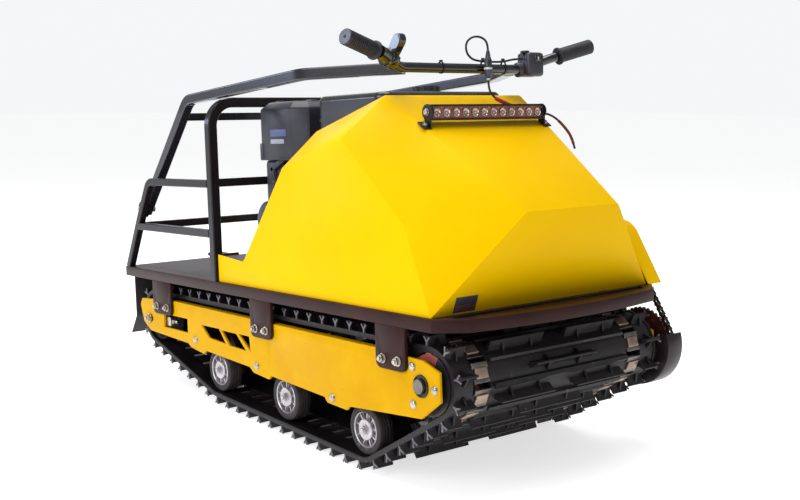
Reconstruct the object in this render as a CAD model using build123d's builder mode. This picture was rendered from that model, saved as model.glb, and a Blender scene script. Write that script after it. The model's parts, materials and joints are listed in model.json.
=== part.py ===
from build123d import *
from math import atan2, cos, degrees, pi, sin, tan
import os

# Tracked snow tug: a low tube frame on one wide rubber belt, a faceted hood over
# the engine, a rear rack, and a handlebar whose arms fold over from the rack.
# Millimetres. x runs forward from the rails' rear end, y to the machine's left,
# z up from a level that lies rail_top below the rails. The machine stands nose
# up by the slope of its road wheels, which the last lines of the file set.
os.makedirs("parts", exist_ok=True)

# Clearances and overruns that serve every piece
fit_gap = 0.3          # running gap between a pin and its bore
cut_over = 5.0         # how far a cut runs past the face it opens
weld_sink = 2.0        # how far a welded tube runs into the one that carries it

# Frame of rectangular tube. Its length, half width and top drive every place below
rail_length = 1388.0
rail_half = 330.0      # outer face of a rail from the middle
rail_top = 430.0
rail_wide = 40.0
rail_deep = 27.0
rail_under = rail_top - rail_deep
rail_inner = rail_half - rail_wide
deck_thick = 3.0
cross_shares = (0.16, 0.375, 0.54, 0.905)     # cross tubes along the rails, ahead of the rear one
bumper_reach = 77.0    # how far the bumper bows past the rails
bumper_corner_in = 49.0
bumper_corner_side = 55.0
bumper_wide = 27.0

# Hangers that carry the side plates
hanger_thick = 8.0
hanger_drop = 91.0
hanger_corner = 16.0
hanger_bolt_up = 21.0          # bolt row above the hanger's lower edge
hanger_bolt_in = 24.0          # bolt from the hanger's end
bolt_radius = 6.0
hanger_shares = (0.1225, 0.5043, 0.8682)      # rear ends along the rails
hanger_lengths = (109.0, 95.0, 98.0)
hangers = [(rail_length * share, length) for share, length in zip(hanger_shares, hanger_lengths)]

# Yellow side plates
plate_thick = 6.0
plate_outer = rail_half - hanger_thick
plate_inner = plate_outer - plate_thick
plate_rear = 71.0
plate_ahead = 12.0             # past the rails' front end
plate_long = rail_length + plate_ahead - plate_rear
plate_down = 234.0             # lowest edge under the rails' top
plate_low = rail_top - plate_down
plate_tall = 157.0
flange_wide = 13.0
plate_shares = (               # along the plate, up the plate
    (0.009, 0.936), (0.000, 0.822), (0.014, 0.516), (0.044, 0.376),
    (0.215, 0.325), (0.226, 0.268), (0.278, 0.217), (0.287, 0.280),
    (0.455, 0.217), (0.468, 0.146), (0.521, 0.108), (0.529, 0.172),
    (0.698, 0.096), (0.707, 0.025), (0.762, 0.000), (0.770, 0.064),
    (0.955, 0.180), (1.000, 0.452), (0.999, 0.828), (0.962, 0.936),
    (0.933, 0.943), (0.847, 0.975), (0.543, 0.981), (0.465, 0.987),
    (0.152, 1.000),
)
fold_shares = (plate_shares[-1], plate_shares[-4])    # ends of the folded top edge
window_shares = (              # parallelograms, along and up
    ((0.272, 0.701), (0.344, 0.707), (0.369, 0.484), (0.302, 0.510)),
    ((0.352, 0.694), (0.409, 0.694), (0.444, 0.459), (0.381, 0.471)),
    ((0.417, 0.701), (0.457, 0.701), (0.460, 0.459)),
)
tension_window_share = (0.162, 0.624, 0.105, 0.242)  # centre along, up, length, height

# Belt run: drive drum in front, idler behind, road wheels below
belt_side_gap = 16.0
belt_half = plate_inner - belt_side_gap
belt_thick = 9.0
drum_radius = 66.0             # inside of the belt on the drums
drum_down = 139.0              # drum shafts under the rails' top
drum_z = rail_top - drum_down
drive_back = 46.0              # behind the rails' front end
drive_x = rail_length - drive_back
idler_x = 127.0
wheel_radius = 58.0
first_wheel_down = 245.0
last_wheel_down = 280.0
last_wheel_back = 285.0
first_wheel = (461.0, rail_top - first_wheel_down)   # along, up: centre of the rear wheel pair
last_wheel = (rail_length - last_wheel_back, rail_top - last_wheel_down)
wheel_count = 3                # evenly spaced on a straight line
lug_pitch = 52.4
lug_tall = 22.0
lug_foot = 15.0
lug_tip = 6.0
lug_edge_share = 0.843         # inner ends of the edge lugs, of the belt's half width
lug_mid_shares = (0.113, 0.62)
lug_centre_share = 0.307

# Wheels, axles and arms
wheel_sides = 16               # flats of a tyre, which keep its triangles few
rim_radius = 41.0
rim_thick = 4.0
rim_web = 8.0
rim_spokes = 5
spoke_wide = 9.0
wheel_wide = 40.0
wheel_in = 30.0                # outer wheel row from the belt's edge
wheel_rows = (belt_half - wheel_in, 108.0)    # distance of the wheel rows from the middle
axle_radius = 10.0
pivot_radius = 17.0
arm_thick = 12.0
arm_in = 75.0                  # from the belt's edge
arm_row = belt_half - arm_in
arm_back = 64.0                # pivot tube behind the wheel
arm_rise = 74.0                # pivot tube above the wheel
shaft_radius = 15.0
sprocket_in = 72.0
sprocket_row = belt_half - sprocket_in
sprocket_thick = 10.0
sprocket_teeth = 8
tooth_depth = 12.0
flange_disc_radius = 62.0
flange_disc_thick = 5.0
idler_wide = 44.0
bearing_radius = 23.0
bearing_proud = 9.0
bearing_flange = 50.0
bearing_flange_thick = 5.0

# Chain drive on the left side
chain_gap = 28.0               # chain's middle outside the side plate
chain_y = plate_outer + chain_gap
chain_wide = 14.0
chain_outer = chain_y + chain_wide / 2
chain_tall = 12.0
chain_flats = 24               # round each sprocket, which keep the chain's triangles few
lower_sprocket = 80.0
upper_sprocket = 30.0
lower_teeth = 40
upper_teeth = 15
seat_radius = 4.2              # of a roller's seat between two teeth
upper_sprocket_back = 122.0
upper_sprocket_x = rail_length - upper_sprocket_back
upper_sprocket_up = 84.0
upper_sprocket_z = rail_top + upper_sprocket_up
chain_plate_thick = 6.0
guard_radius = 95.0
guard_over = 15.0              # strip past the chain's side
guard_side = chain_outer + guard_over
guard_web_inner = 46.0
guard_sheet = 4.0
guard_tail_back = 74.0         # behind the lower sprocket
guard_tail_down = 125.0        # under it
guard_start = 17.0             # degrees above level where the guard begins
guard_end = -80.0

# Hood of flat facets, corners on the right side mirrored to the left
hood_sheet = 3.0
hood_inset = 8.0
hood_half = rail_half - hood_inset
hood_base = rail_top + fit_gap
hood_corners = {               # back from the rails' front end, in from the hood's side, up
    "ridge": (291.0, 119.0, 443.0),
    "nose": (-68.0, 187.0, 199.0),
    "corner": (11.0, 0.0, fit_gap),
    "shoulder": (293.0, 0.0, 351.0),
    "cheek": (88.0, 0.0, 177.0),
    "rear_high": (462.0, 52.0, 369.0),
    "rear_mid": (529.0, 0.0, 289.0),
    "rear_low": (716.0, 0.0, 67.0),
    "tab_front": (727.0, 0.0, 59.0),
    "tab_back": (847.0, 0.0, 69.0),
    "tab_corner": (847.0, 0.0, fit_gap),
}

# Hoop behind the hood
hoop_back = 866.0              # behind the rails' front end
hoop_x = rail_length - hoop_back
hoop_in = 13.0
hoop_half = rail_half - hoop_in
hoop_tube = 25.0
hoop_bend = 60.0
hoop_cross_up = 249.0
hoop_cross_z = rail_top + hoop_cross_up

# Rear rack: places ahead of the rails' rear end, heights above their top
rack_tube = 20.0
rack_in = 10.0
rack_half = rail_half - rack_in
rack_foot_x = 14.0
rack_kink = (93.0, 131.0)
rack_elbow = (168.0, 247.0)
rack_bend = 38.0
rack_rail_up = 120.0
rack_rail_z = rail_top + rack_rail_up

# Folding arms and handlebar
arm_tube = 26.0
arm_from_rack = 28.0
arm_half = rack_half - arm_from_rack
pivot_x = 84.0
pivot_up = 167.0
pivot_z = rail_top + pivot_up
arm_bend_place = (157.0, 464.0)               # behind the hoop, above the rails
arm_end_place = (474.0, 498.0)                # behind the rails' front end, above the rails
arm_tip_place = (281.0, 158.0, 501.0)         # the same, with its distance from the middle
arm_bend_point = (hoop_x - arm_bend_place[0], rail_top + arm_bend_place[1])
arm_end = (rail_length - arm_end_place[0], rail_top + arm_end_place[1])
arm_tip = (rail_length - arm_tip_place[0], arm_tip_place[1], rail_top + arm_tip_place[2])
arm_bend = 60.0
hoop_rest_gap = 1.0
arm_cross_up = 420.0
arm_cross_z = rail_top + arm_cross_up
pivot_bolt = 6.0
tab_thick = 5.0
tab_radius = 22.0
arm_tail = 13.0                # tube behind the pivot
pivot_head = 10.0
pivot_head_tall = 7.0
arm_tip_bend = 80.0
arm_cross_tube = 20.0
bar_radius = 11.0
bar_back = 268.0
bar_x = rail_length - bar_back
bar_up = 502.0
bar_z = rail_top + bar_up
bar_straight = 178.0
grip_start_step = (30.0, 67.0, 23.0)          # from the bar's straight end: ahead, out, up
grip_finish_step = (57.0, 183.0, 54.0)
grip_start = (bar_x + grip_start_step[0], bar_straight + grip_start_step[1], bar_z + grip_start_step[2])
grip_finish = (bar_x + grip_finish_step[0], bar_straight + grip_finish_step[1], bar_z + grip_finish_step[2])
bar_bend = 55.0
grip_radius = 17.5
grip_flange = 24.0

# Switch housing, thumb throttle and their places on the bar
switch_out = 28.0              # outside the bar's straight end
switch_y = bar_straight + switch_out
switch_box = (46.0, 52.0, 58.0)
switch_round = 9.0
throttle_out = 44.0
throttle_y = -bar_straight - throttle_out
throttle_radius = 19.0
throttle_wide = 26.0
lever_thick = 7.0
lever_reach = (30.0, 60.0)     # lever's tip ahead of the bar and above it
lever_tip_radius = 9.0

# Light bar on the hood's top facet
lamp_back = 180.0
lamp_x = rail_length - lamp_back
lamp_up = 402.0
lamp_z = rail_top + lamp_up
lamp_half = 168.0
lamp_tall = 34.0
lamp_deep = 22.0
lamp_fins = 5
lamp_fin_deep = 8.0
lamp_glass = 3.0
lamp_lip = 4.0                 # frame round the glass
lamp_cells = 12
cell_radius = 10.0
cell_sides = 12
cell_proud = 1.0
lamp_foot_thick = 3.0

# Engine group on the deck behind and under the hood
bed_tall = 8.0
bed_long = 330.0
bed_wide = 260.0
engine_back = 653.0
engine_x = rail_length - engine_back
crank_up = 160.0
crank_z = rail_top + crank_up
case_long = 230.0
case_wide = 190.0
case_tall = 252.0
case_low = rail_top + bed_tall
case_high = case_low + case_tall
case_round = 22.0
fin_count = 6
fin_thick = 5.0
fin_step = 11.0
fin_size = 150.0
cylinder_size = 112.0
cylinder_ahead = 40.0
cylinder_tilt = 25.0
blower_radius = 118.0
blower_y = -95.0
blower_deep = 62.0
starter_radius = 88.0
starter_deep = 34.0
starter_slots = 12
filter_size = (172.0, 220.0, 144.0)
filter_from_crank = (-79.0, -90.0, 215.0)     # its centre from the crankshaft's middle
filter_cut = 34.0
neck_wide = 80.0
neck_gap = 0.3
tank_size = (262.0, 370.0, 104.0)
tank_from_crank = (196.0, 0.0, 242.0)
tank_round = 28.0
cap_ahead = 257.0              # of the crankshaft
cap_radius = 34.0
cap_tall = 16.0
muffler_ahead = 115.0
muffler_x = engine_x + muffler_ahead
muffler_y = 120.0
muffler_up = 70.0
muffler_z = crank_z + muffler_up
muffler_radius = 52.0
muffler_long = 130.0
tail_pipe = 14.0
pulley_in = 132.0              # inner face of a pulley from the hood's side
pulley_y = hood_half - pulley_in
pulley_wide = 34.0
pulley_groove = 14.0
drive_pulley_radius = 78.0
driven_pulley_radius = 80.0
bearing_block = (70.0, 40.0, 52.0)
bearing_in = (172.0, 70.0)     # middles of the blocks from the hood's side
bearing_rows = [hood_half - inside for inside in bearing_in]
cover_side_room = 11.0         # from the chain's side to the outside of its cover
chain_box_side = chain_outer + cover_side_room
cover_room = 17.0              # from the chain's edge to the outside of its cover
bracket_sheet = 3.0
bracket_half = 85.0
bracket_step = 16.0

# Mud flap and tow hitch at the rear
flap_in = 27.0
flap_half = rail_half - flap_in
flap_thick = 4.0
flap_down = 205.0
flap_low = rail_top - flap_down
flap_flare = 40.0
flap_flare_tall = 55.0
hitch_long = 62.0
hitch_wide = 50.0
hitch_thick = 8.0
hitch_bore = 8.0
hitch_jaw = 24.0

# Chain tensioners in the side plates' windows
tension_rod = 6.0
tension_block = 26.0

# Wires and their plug: routes chosen by hand, ahead of the bar, left and above the rails
wire_radius = 2.5
plug_radius = 9.0
plug_ahead = 22.0
plug_y = 60.0
plug_low_up = 476.0
plug_split_up = 504.0
plug_high_up = 542.0
cord_arc_share = 0.45          # arc as a share of the shorter run beside it
wire_route = (
    (22.0, 60.0, 476.0), (22.0, 60.0, 456.0), (30.0, 66.0, 438.0),
    (38.0, 82.0, 427.0), (42.0, 104.0, 419.0), (43.0, 126.0, 410.0),
    (50.0, 140.0, 402.0), (65.7, 140.0, 402.0),
)
lead_route = (
    (76.0, 171.6, 398.0), (76.0, 188.0, 398.0), (90.0, 204.0, 388.0),
    (106.0, 218.0, 366.0), (118.0, 231.0, 340.0), (124.0, 233.0, 314.0),
)
cable_route = (
    (22.0, 60.0, 542.0), (22.0, 60.0, 560.0), (14.0, 47.0, 573.0),
    (8.0, 26.0, 573.0), (4.0, 10.0, 560.0), (4.0, 10.0, 538.0),
    (4.0, 26.0, 523.0), (2.0, 52.0, 519.0), (1.0, 88.0, 518.0),
    (2.0, 126.0, 519.0), (8.0, 158.0, 526.0), (11.0, 179.8, 526.0),
)

# Centres of the wheel pairs, from the rear
wheel_steps = [number / (wheel_count - 1) for number in range(wheel_count)]
wheels = [
    tuple(first + share * (last - first) for first, last in zip(first_wheel, last_wheel))
    for share in wheel_steps
]

finished = {}


def keep(piece, label):
    """Label a finished piece and hold it for the placing at the end."""
    piece.part.label = label
    finished[label] = piece.part


def square_tube(points, bend, size, across=(0, 1, 0), corner_share=0.14):
    """A rounded square tube along straight runs with rounded bends."""
    with BuildPart() as tube:
        with BuildLine():
            path = FilletPolyline(*points, radius=bend) if bend else Polyline(*points)
        with BuildSketch(Plane(path @ 0, x_dir=across, z_dir=path % 0)):
            RectangleRounded(size, size, size * corner_share)
        sweep()
    return tube.part


def round_tube(points, bend, radius):
    """A solid round bar along straight runs with rounded bends."""
    with BuildPart() as tube:
        with BuildLine():
            path = FilletPolyline(*points, radius=bend)
        with BuildSketch(Plane(path @ 0, z_dir=path % 0)):
            Circle(radius)
        sweep()
    return tube.part


def rod_between(start, end, radius, bore=0):
    """A straight round rod or sleeve from one point to another."""
    axis = Vector(*end) - Vector(*start)
    with BuildPart() as rod:
        with BuildSketch(Plane(Vector(*start), z_dir=axis)):
            Circle(radius)
            if bore:
                Circle(bore, mode=Mode.SUBTRACT)
        extrude(amount=axis.length)
    return rod.part


def cross_rod(x, z, radius, low, high, bore=0):
    """A round rod, disc or ring across the machine between two values of y."""
    return rod_between((x, low, z), (x, high, z), radius, bore)


def side_plane(y):
    """Sketch plane at y: its own x runs forward and its own y runs up."""
    return Plane(origin=(0, y, 0), x_dir=(1, 0, 0), z_dir=(0, -1, 0))


def slab(side, inner, thick):
    """Plane and amount that extrude a side profile outwards from |y| = inner."""
    return side_plane(side * inner), -side * thick


# Frame: two rails, cross tubes and the bowed bumper
with BuildPart() as frame:
    for side in (-1, 1):
        with Locations((rail_length / 2, side * (rail_half - rail_wide / 2), rail_top - rail_deep / 2)):
            Box(rail_length, rail_wide, rail_deep)
    cross_deep = rail_deep - deck_thick
    for middle in [rail_wide / 2] + [rail_length * share for share in cross_shares]:
        with Locations((middle, 0, rail_under + cross_deep / 2)):
            Box(rail_wide, 2 * rail_inner, cross_deep)
    with BuildSketch(Plane.XY.offset(rail_under)):
        corner_x = rail_length + bumper_corner_in
        corner_y = rail_half - bumper_corner_side
        for inset, mode in ((0, Mode.ADD), (bumper_wide, Mode.SUBTRACT)):
            with BuildLine():
                Polyline(
                    (corner_x - inset, -corner_y),
                    (rail_length - inset, -rail_half + inset),
                    (rail_length - inset, rail_half - inset),
                    (corner_x - inset, corner_y),
                )
                ThreePointArc(
                    (corner_x - inset, corner_y),
                    (rail_length + bumper_reach - inset, 0),
                    (corner_x - inset, -corner_y),
                )
            make_face(mode=mode)
    extrude(amount=rail_deep)
keep(frame, "frame")

# Deck sheet between the rails, on the cross tubes
with BuildPart() as deck:
    with BuildSketch(Plane.XY.offset(rail_top - deck_thick)):
        with Locations((rail_length / 2, 0)):
            Rectangle(rail_length, 2 * rail_inner)
    extrude(amount=deck_thick)
keep(deck, "deck")

# Hangers under the rails
with BuildPart() as hanger_set:
    for side in (-1, 1):
        plane, depth = slab(side, plate_outer, hanger_thick)
        with BuildSketch(plane):
            bolt_z = rail_under - hanger_drop + hanger_bolt_up
            for rear, length in hangers:
                with BuildLine():
                    FilletPolyline(
                        (rear, rail_under),
                        (rear, rail_under - hanger_drop),
                        (rear + length, rail_under - hanger_drop),
                        (rear + length, rail_under),
                        radius=(hanger_corner, hanger_corner),
                    )
                    Line((rear + length, rail_under), (rear, rail_under))
                make_face()
                with Locations((rear + hanger_bolt_in, bolt_z), (rear + length - hanger_bolt_in, bolt_z)):
                    Circle(bolt_radius, mode=Mode.SUBTRACT)
        extrude(amount=depth)
keep(hanger_set, "hangers")


def plate_point(shares):
    """A point of the side plate from its shares of the plate's length and height."""
    return plate_rear + plate_long * shares[0], plate_low + plate_tall * shares[1]


# Side plates with their windows, bearing hole and folded top edge
for side, name in ((-1, "starboard"), (1, "port")):
    plane, depth = slab(side, plate_inner, plate_thick)
    with BuildPart() as side_plate:
        with BuildSketch(plane):
            with BuildLine():
                Polyline(*(plate_point(shares) for shares in plate_shares), close=True)
            make_face()
            for shares in window_shares:
                with BuildLine():
                    Polyline(*(plate_point(corner_shares) for corner_shares in shares), close=True)
                make_face(mode=Mode.SUBTRACT)
            along, up, long_share, tall_share = tension_window_share
            with Locations(plate_point((along, up))):
                Rectangle(plate_long * long_share, plate_tall * tall_share, mode=Mode.SUBTRACT)
            with Locations((drive_x, drum_z)):
                Circle(bearing_radius + fit_gap, mode=Mode.SUBTRACT)
            with Locations((idler_x, drum_z)):
                SlotOverall(4 * axle_radius, 2 * (axle_radius + fit_gap), mode=Mode.SUBTRACT)
            for rear, length in hangers:
                with Locations((rear + hanger_bolt_in, bolt_z), (rear + length - hanger_bolt_in, bolt_z)):
                    Circle(bolt_radius, mode=Mode.SUBTRACT)
        extrude(amount=depth)
        fold_high, fold_low = (plate_point(shares) for shares in fold_shares)
        with BuildSketch(slab(side, plate_inner - flange_wide, flange_wide)[0]):
            with BuildLine():
                Polyline(
                    fold_high, fold_low,
                    (fold_low[0], fold_low[1] - plate_thick / 2),
                    (fold_high[0], fold_high[1] - plate_thick / 2),
                    close=True,
                )
            make_face()
        extrude(amount=-side * flange_wide)
    keep(side_plate, f"side_plate_{name}")


def belt_sketch(extra):
    """The belt's outline around drums and wheels, grown by extra."""
    with BuildSketch(Plane.XZ) as outline:
        with BuildLine():
            circles = [(idler_x, drum_z, drum_radius), (drive_x, drum_z, drum_radius)]
            circles += [(x, z, wheel_radius) for x, z in wheels]
            for x, z, radius in circles:
                CenterArc((x, z), radius + fit_gap + extra, 0, 360)
        make_hull()
    return outline.sketch


# Belt with its rows of lugs, two kinds of row in turn
belt_outer = belt_sketch(belt_thick)
belt_path = belt_outer.face().outer_wire()
belt_middle = belt_outer.face().center()
row_count = 2 * round(belt_path.length / lug_pitch / 2)
lug_taper = degrees(atan2((lug_foot - lug_tip) / 2, lug_tall + weld_sink))
edge_lug = (lug_edge_share, 1)
row_shares = (                 # for each kind of row: its lugs' ends, of the belt's half width
    (edge_lug, lug_mid_shares),
    (edge_lug, (-lug_centre_share, lug_centre_share)),
)


def lug_row(lug_shares):
    """One row of lugs on the level plane, the same to both sides of the middle."""
    with BuildPart() as row:
        with BuildSketch(Plane.XY.offset(-weld_sink)):
            for inner_share, outer_share in lug_shares:
                middle = belt_half * (inner_share + outer_share) / 2
                width = belt_half * (outer_share - inner_share)
                for place in {middle, -middle}:
                    with Locations((place, 0)):
                        Rectangle(width, lug_foot)
        extrude(amount=lug_tall + weld_sink, taper=lug_taper)
    return row.part


rows = [lug_row(lug_shares) for lug_shares in row_shares]
with BuildPart() as track_belt:
    with BuildSketch(Plane.XZ):
        add(belt_outer)
        add(belt_sketch(0), mode=Mode.SUBTRACT)
    extrude(amount=belt_half, both=True)
    lugs = []
    for number in range(row_count):
        at = belt_path.position_at(number / row_count)
        out = belt_path.tangent_at(number / row_count).cross(Vector(0, 1, 0))
        if out.dot(at - belt_middle) < 0:
            out = -out
        seat = Plane(at, x_dir=(0, 1, 0), z_dir=out)
        lugs.append(rows[number % 2].moved(seat.location))
    add(lugs)
keep(track_belt, "track_belt")

# Drive shaft with its toothed discs and the flange discs beside the belt
with BuildPart() as drive_shaft:
    add(cross_rod(drive_x, drum_z, shaft_radius, -plate_outer - bearing_proud, chain_outer))
keep(drive_shaft, "drive_shaft")

with BuildPart() as drive_sprockets:
    for row in (-sprocket_row, sprocket_row):
        with BuildSketch(side_plane(row + sprocket_thick / 2)):
            with Locations((drive_x, drum_z)):
                Circle(drum_radius - tooth_depth)
                with PolarLocations(drum_radius - tooth_depth, sprocket_teeth):
                    Circle(tooth_depth)
                Circle(shaft_radius, mode=Mode.SUBTRACT)
        extrude(amount=sprocket_thick)
    for side in (-1, 1):
        plane, depth = slab(side, belt_half + flange_disc_thick / 2, flange_disc_thick)
        with BuildSketch(plane):
            with Locations((drive_x, drum_z)):
                Circle(flange_disc_radius)
                Circle(shaft_radius, mode=Mode.SUBTRACT)
        extrude(amount=depth)
keep(drive_sprockets, "drive_sprockets")

# Rear idler: shaft in the plates' slots, two wheels under the belt
with BuildPart() as idler_shaft:
    add(cross_rod(idler_x, drum_z, axle_radius, -plate_outer, plate_outer))
keep(idler_shaft, "idler_shaft")

with BuildPart() as idler_wheels:
    for row in wheel_rows:
        for side in (-1, 1):
            low, high = side * row - idler_wide / 2, side * row + idler_wide / 2
            low, high = max(low, -belt_half), min(high, belt_half)
            add(cross_rod(idler_x, drum_z, drum_radius, low, high, axle_radius + fit_gap))
keep(idler_wheels, "idler_wheels")

# Three road wheel axles, each carried by two arms on a pivot tube
with BuildPart() as carriers:
    for x, z in wheels:
        add(cross_rod(x - arm_back, z + arm_rise, pivot_radius, -plate_inner, plate_inner))
        for side in (-1, 1):
            plane, depth = slab(side, arm_row - arm_thick / 2, arm_thick)
            with BuildSketch(plane):
                with BuildLine():
                    CenterArc((x, z), pivot_radius + arm_thick / 2, 0, 360)
                    CenterArc((x - arm_back, z + arm_rise), pivot_radius + arm_thick, 0, 360)
                make_hull()
            extrude(amount=depth)
        add(cross_rod(x, z, axle_radius, -wheel_rows[0] - wheel_wide / 2, wheel_rows[0] + wheel_wide / 2))
keep(carriers, "wheel_carriers")

def wheel_ring(outer_radius, inner_radius, low, high):
    """A ring of flats about the y axis, from one value of y to another."""
    with BuildPart() as ring:
        with BuildSketch(side_plane(high)):
            RegularPolygon(outer_radius, wheel_sides)
            RegularPolygon(inner_radius, wheel_sides, mode=Mode.SUBTRACT)
        extrude(amount=high - low)
    return ring.part


# Cast wheel at the origin: a rim of flats, spokes in its middle and a hub
with BuildPart() as cast_wheel:
    add(wheel_ring(rim_radius, rim_radius - rim_thick, -wheel_wide / 2, wheel_wide / 2))
    with BuildSketch(side_plane(rim_web / 2)):
        Circle(axle_radius + rim_web)
        with PolarLocations((rim_radius + axle_radius) / 2, rim_spokes):
            Rectangle(rim_radius - axle_radius - rim_thick, spoke_wide)
    extrude(amount=rim_web)
    add(cross_rod(0, 0, axle_radius + rim_web, -wheel_wide / 2 + fit_gap, wheel_wide / 2 - fit_gap))
    add(cross_rod(0, 0, axle_radius + fit_gap, -wheel_wide, wheel_wide), mode=Mode.SUBTRACT)
tyre = wheel_ring(wheel_radius, rim_radius, -wheel_wide / 2, wheel_wide / 2)
wheel_places = [(x, side * row, z) for x, z in wheels for side in (-1, 1) for row in wheel_rows]
with BuildPart() as road_wheels:
    add([cast_wheel.part.moved(Location(place)) for place in wheel_places])
keep(road_wheels, "road_wheels")

with BuildPart() as road_tyres:
    add([tyre.moved(Location(place)) for place in wheel_places])
keep(road_tyres, "road_tyres")

# Flange bearings of the drive shaft, inside the plates and proud through them
with BuildPart() as bearings:
    for side in (-1, 1):
        inner, flange = side * (plate_inner - bearing_flange_thick), side * plate_inner
        outer = side * (plate_outer + bearing_proud)
        add(cross_rod(drive_x, drum_z, bearing_flange, inner, flange, shaft_radius + fit_gap))
        add(cross_rod(drive_x, drum_z, bearing_radius, inner, outer, shaft_radius + fit_gap))
keep(bearings, "shaft_bearings")

# Chain drive: lower and upper sprockets, the chain loop, and its guard
def toothed_wheel(x, z, radius, teeth, bore=0):
    """A chain wheel: a disc with a roller's seat between each two teeth."""
    with BuildPart() as toothed:
        with BuildSketch(side_plane(chain_y + chain_plate_thick / 2)):
            with Locations((x, z)):
                Circle(radius)
                with PolarLocations(radius, teeth):
                    RegularPolygon(seat_radius, 6, mode=Mode.SUBTRACT)
                if bore:
                    Circle(bore, mode=Mode.SUBTRACT)
        extrude(amount=chain_plate_thick)
    return toothed.part


with BuildPart() as lower_wheel:
    add(toothed_wheel(drive_x, drum_z, lower_sprocket, lower_teeth, shaft_radius + fit_gap))
keep(lower_wheel, "lower_sprocket")

with BuildPart() as jackshaft:
    add(toothed_wheel(upper_sprocket_x, upper_sprocket_z, upper_sprocket, upper_teeth))
    shaft_end = bearing_rows[0] - bearing_block[1]
    add(cross_rod(upper_sprocket_x, upper_sprocket_z, shaft_radius, shaft_end, chain_y))
keep(jackshaft, "jackshaft")


def chain_outline(extra, flats=0):
    """Area inside the chain's inner line, grown by extra, round or with flats at the sprockets."""
    with BuildSketch(Plane.XZ) as outline:
        for x, z, radius in (
            (drive_x, drum_z, lower_sprocket + extra),
            (upper_sprocket_x, upper_sprocket_z, upper_sprocket + extra),
        ):
            with Locations((x, z)):
                if flats:
                    RegularPolygon(radius, flats, major_radius=False)
                else:
                    Circle(radius)
        make_hull()
    return outline.sketch


with BuildPart() as chain:
    with BuildSketch(side_plane(chain_y + chain_wide / 2)):
        add(chain_outline(fit_gap + chain_tall, chain_flats))
        add(chain_outline(fit_gap, chain_flats), mode=Mode.SUBTRACT)
    extrude(amount=chain_wide)
keep(chain, "drive_chain")

# Guard: a strip curved round the lower sprocket, on a web bolted to the side plate
def guard_sector(inner_radius, outer_radius):
    """Sketch of a ring sector round the lower sprocket."""
    turn = guard_start - guard_end
    with BuildSketch(Plane.XZ) as sector:
        with BuildLine():
            outer_arc = CenterArc((drive_x, drum_z), outer_radius, guard_end, turn)
            inner_arc = CenterArc((drive_x, drum_z), inner_radius, guard_end, turn)
            Line(outer_arc @ 0, inner_arc @ 0)
            Line(outer_arc @ 1, inner_arc @ 1)
        make_face()
    return sector.sketch


with BuildPart() as guard:
    guard_outer = guard_radius + guard_sheet
    with BuildSketch(side_plane(guard_side)):
        add(guard_sector(guard_radius, guard_outer))
        with BuildLine():
            outer_end = CenterArc((drive_x, drum_z), guard_outer, guard_end, 1, mode=Mode.PRIVATE) @ 0
            inner_end = CenterArc((drive_x, drum_z), guard_radius, guard_end, 1, mode=Mode.PRIVATE) @ 0
            tail_step = Vector(drive_x - guard_tail_back, drum_z - guard_tail_down) - inner_end
            Polyline(outer_end, outer_end + tail_step, inner_end + tail_step, inner_end, close=True)
        make_face()
    extrude(amount=guard_side - plate_outer)
    with BuildSketch(side_plane(plate_outer + guard_sheet)):
        add(guard_sector(guard_web_inner, guard_outer))
    extrude(amount=guard_sheet)
keep(guard, "chain_guard")


def hood_corner(name, side):
    """A named corner of the hood on the right (-1) or left (+1) side."""
    back, inside, up = hood_corners[name]
    return rail_length - back, side * (hood_half - inside), rail_top + up


def facet(points):
    """A flat face through points given in order."""
    return Face(Wire.make_polygon(points, close=True))


# Hood: flat facets closed to a solid, then hollowed and opened below and behind
side_facets = (
    ("ridge", "nose", "shoulder"),
    ("shoulder", "nose", "cheek"),
    ("cheek", "nose", "corner"),
    ("ridge", "shoulder", "rear_high"),
    ("rear_high", "shoulder", "rear_mid"),
    ("corner", "cheek", "shoulder", "rear_mid", "rear_low", "tab_front", "tab_back", "tab_corner"),
)
closing = ("ridge", "rear_high", "rear_mid", "rear_low", "tab_front", "tab_back", "tab_corner", "corner",
           "nose", "ridge")
faces = []
for side in (-1, 1):
    for names in side_facets:
        faces.append(facet([hood_corner(name, side) for name in names]))
for first, second in zip(closing, closing[1:]):
    loop = [hood_corner(first, -1), hood_corner(second, -1), hood_corner(second, 1), hood_corner(first, 1)]
    faces.append(facet(loop))
hood_solid = Solid(Shell(faces))
hood_middle = hood_solid.center()
shut = faces[:2 * len(side_facets)] + faces[-2:]
with BuildPart() as hood:
    for face in shut:
        inward = face.normal_at()
        if inward.dot(hood_middle - face.center()) < 0:
            inward = -inward
        extrude(face, amount=hood_sheet, dir=inward)
    add(hood_solid, mode=Mode.INTERSECT)
    add(cross_rod(upper_sprocket_x, upper_sprocket_z, shaft_radius + cut_over, 0, hood_half + cut_over),
        mode=Mode.SUBTRACT)
keep(hood, "hood")


def arm_line_z(x):
    """Height of the arm's middle line between its bend and its tip."""
    share = (x - arm_bend_point[0]) / (arm_end[0] - arm_bend_point[0])
    return arm_bend_point[1] + share * (arm_end[1] - arm_bend_point[1])


# Hoop: its corners carry the folded arms
hoop_turn = hoop_bend + hoop_tube / 2
arm_inset = arm_half - arm_tube / 2 - (hoop_half - hoop_bend)
hoop_drop = hoop_turn - (hoop_turn ** 2 - arm_inset ** 2) ** (1 / 2)
hoop_top = arm_line_z(hoop_x) - arm_tube / 2 - hoop_rest_gap - hoop_tube / 2 + hoop_drop
with BuildPart() as hoop:
    corners = [(hoop_x, -hoop_half, rail_top), (hoop_x, -hoop_half, hoop_top),
               (hoop_x, hoop_half, hoop_top), (hoop_x, hoop_half, rail_top)]
    add(square_tube(corners, hoop_bend, hoop_tube, across=(1, 0, 0)))
    with Locations((hoop_x, 0, hoop_cross_z)):
        Box(rack_tube, 2 * hoop_half, rack_tube)
keep(hoop, "hoop")

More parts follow.
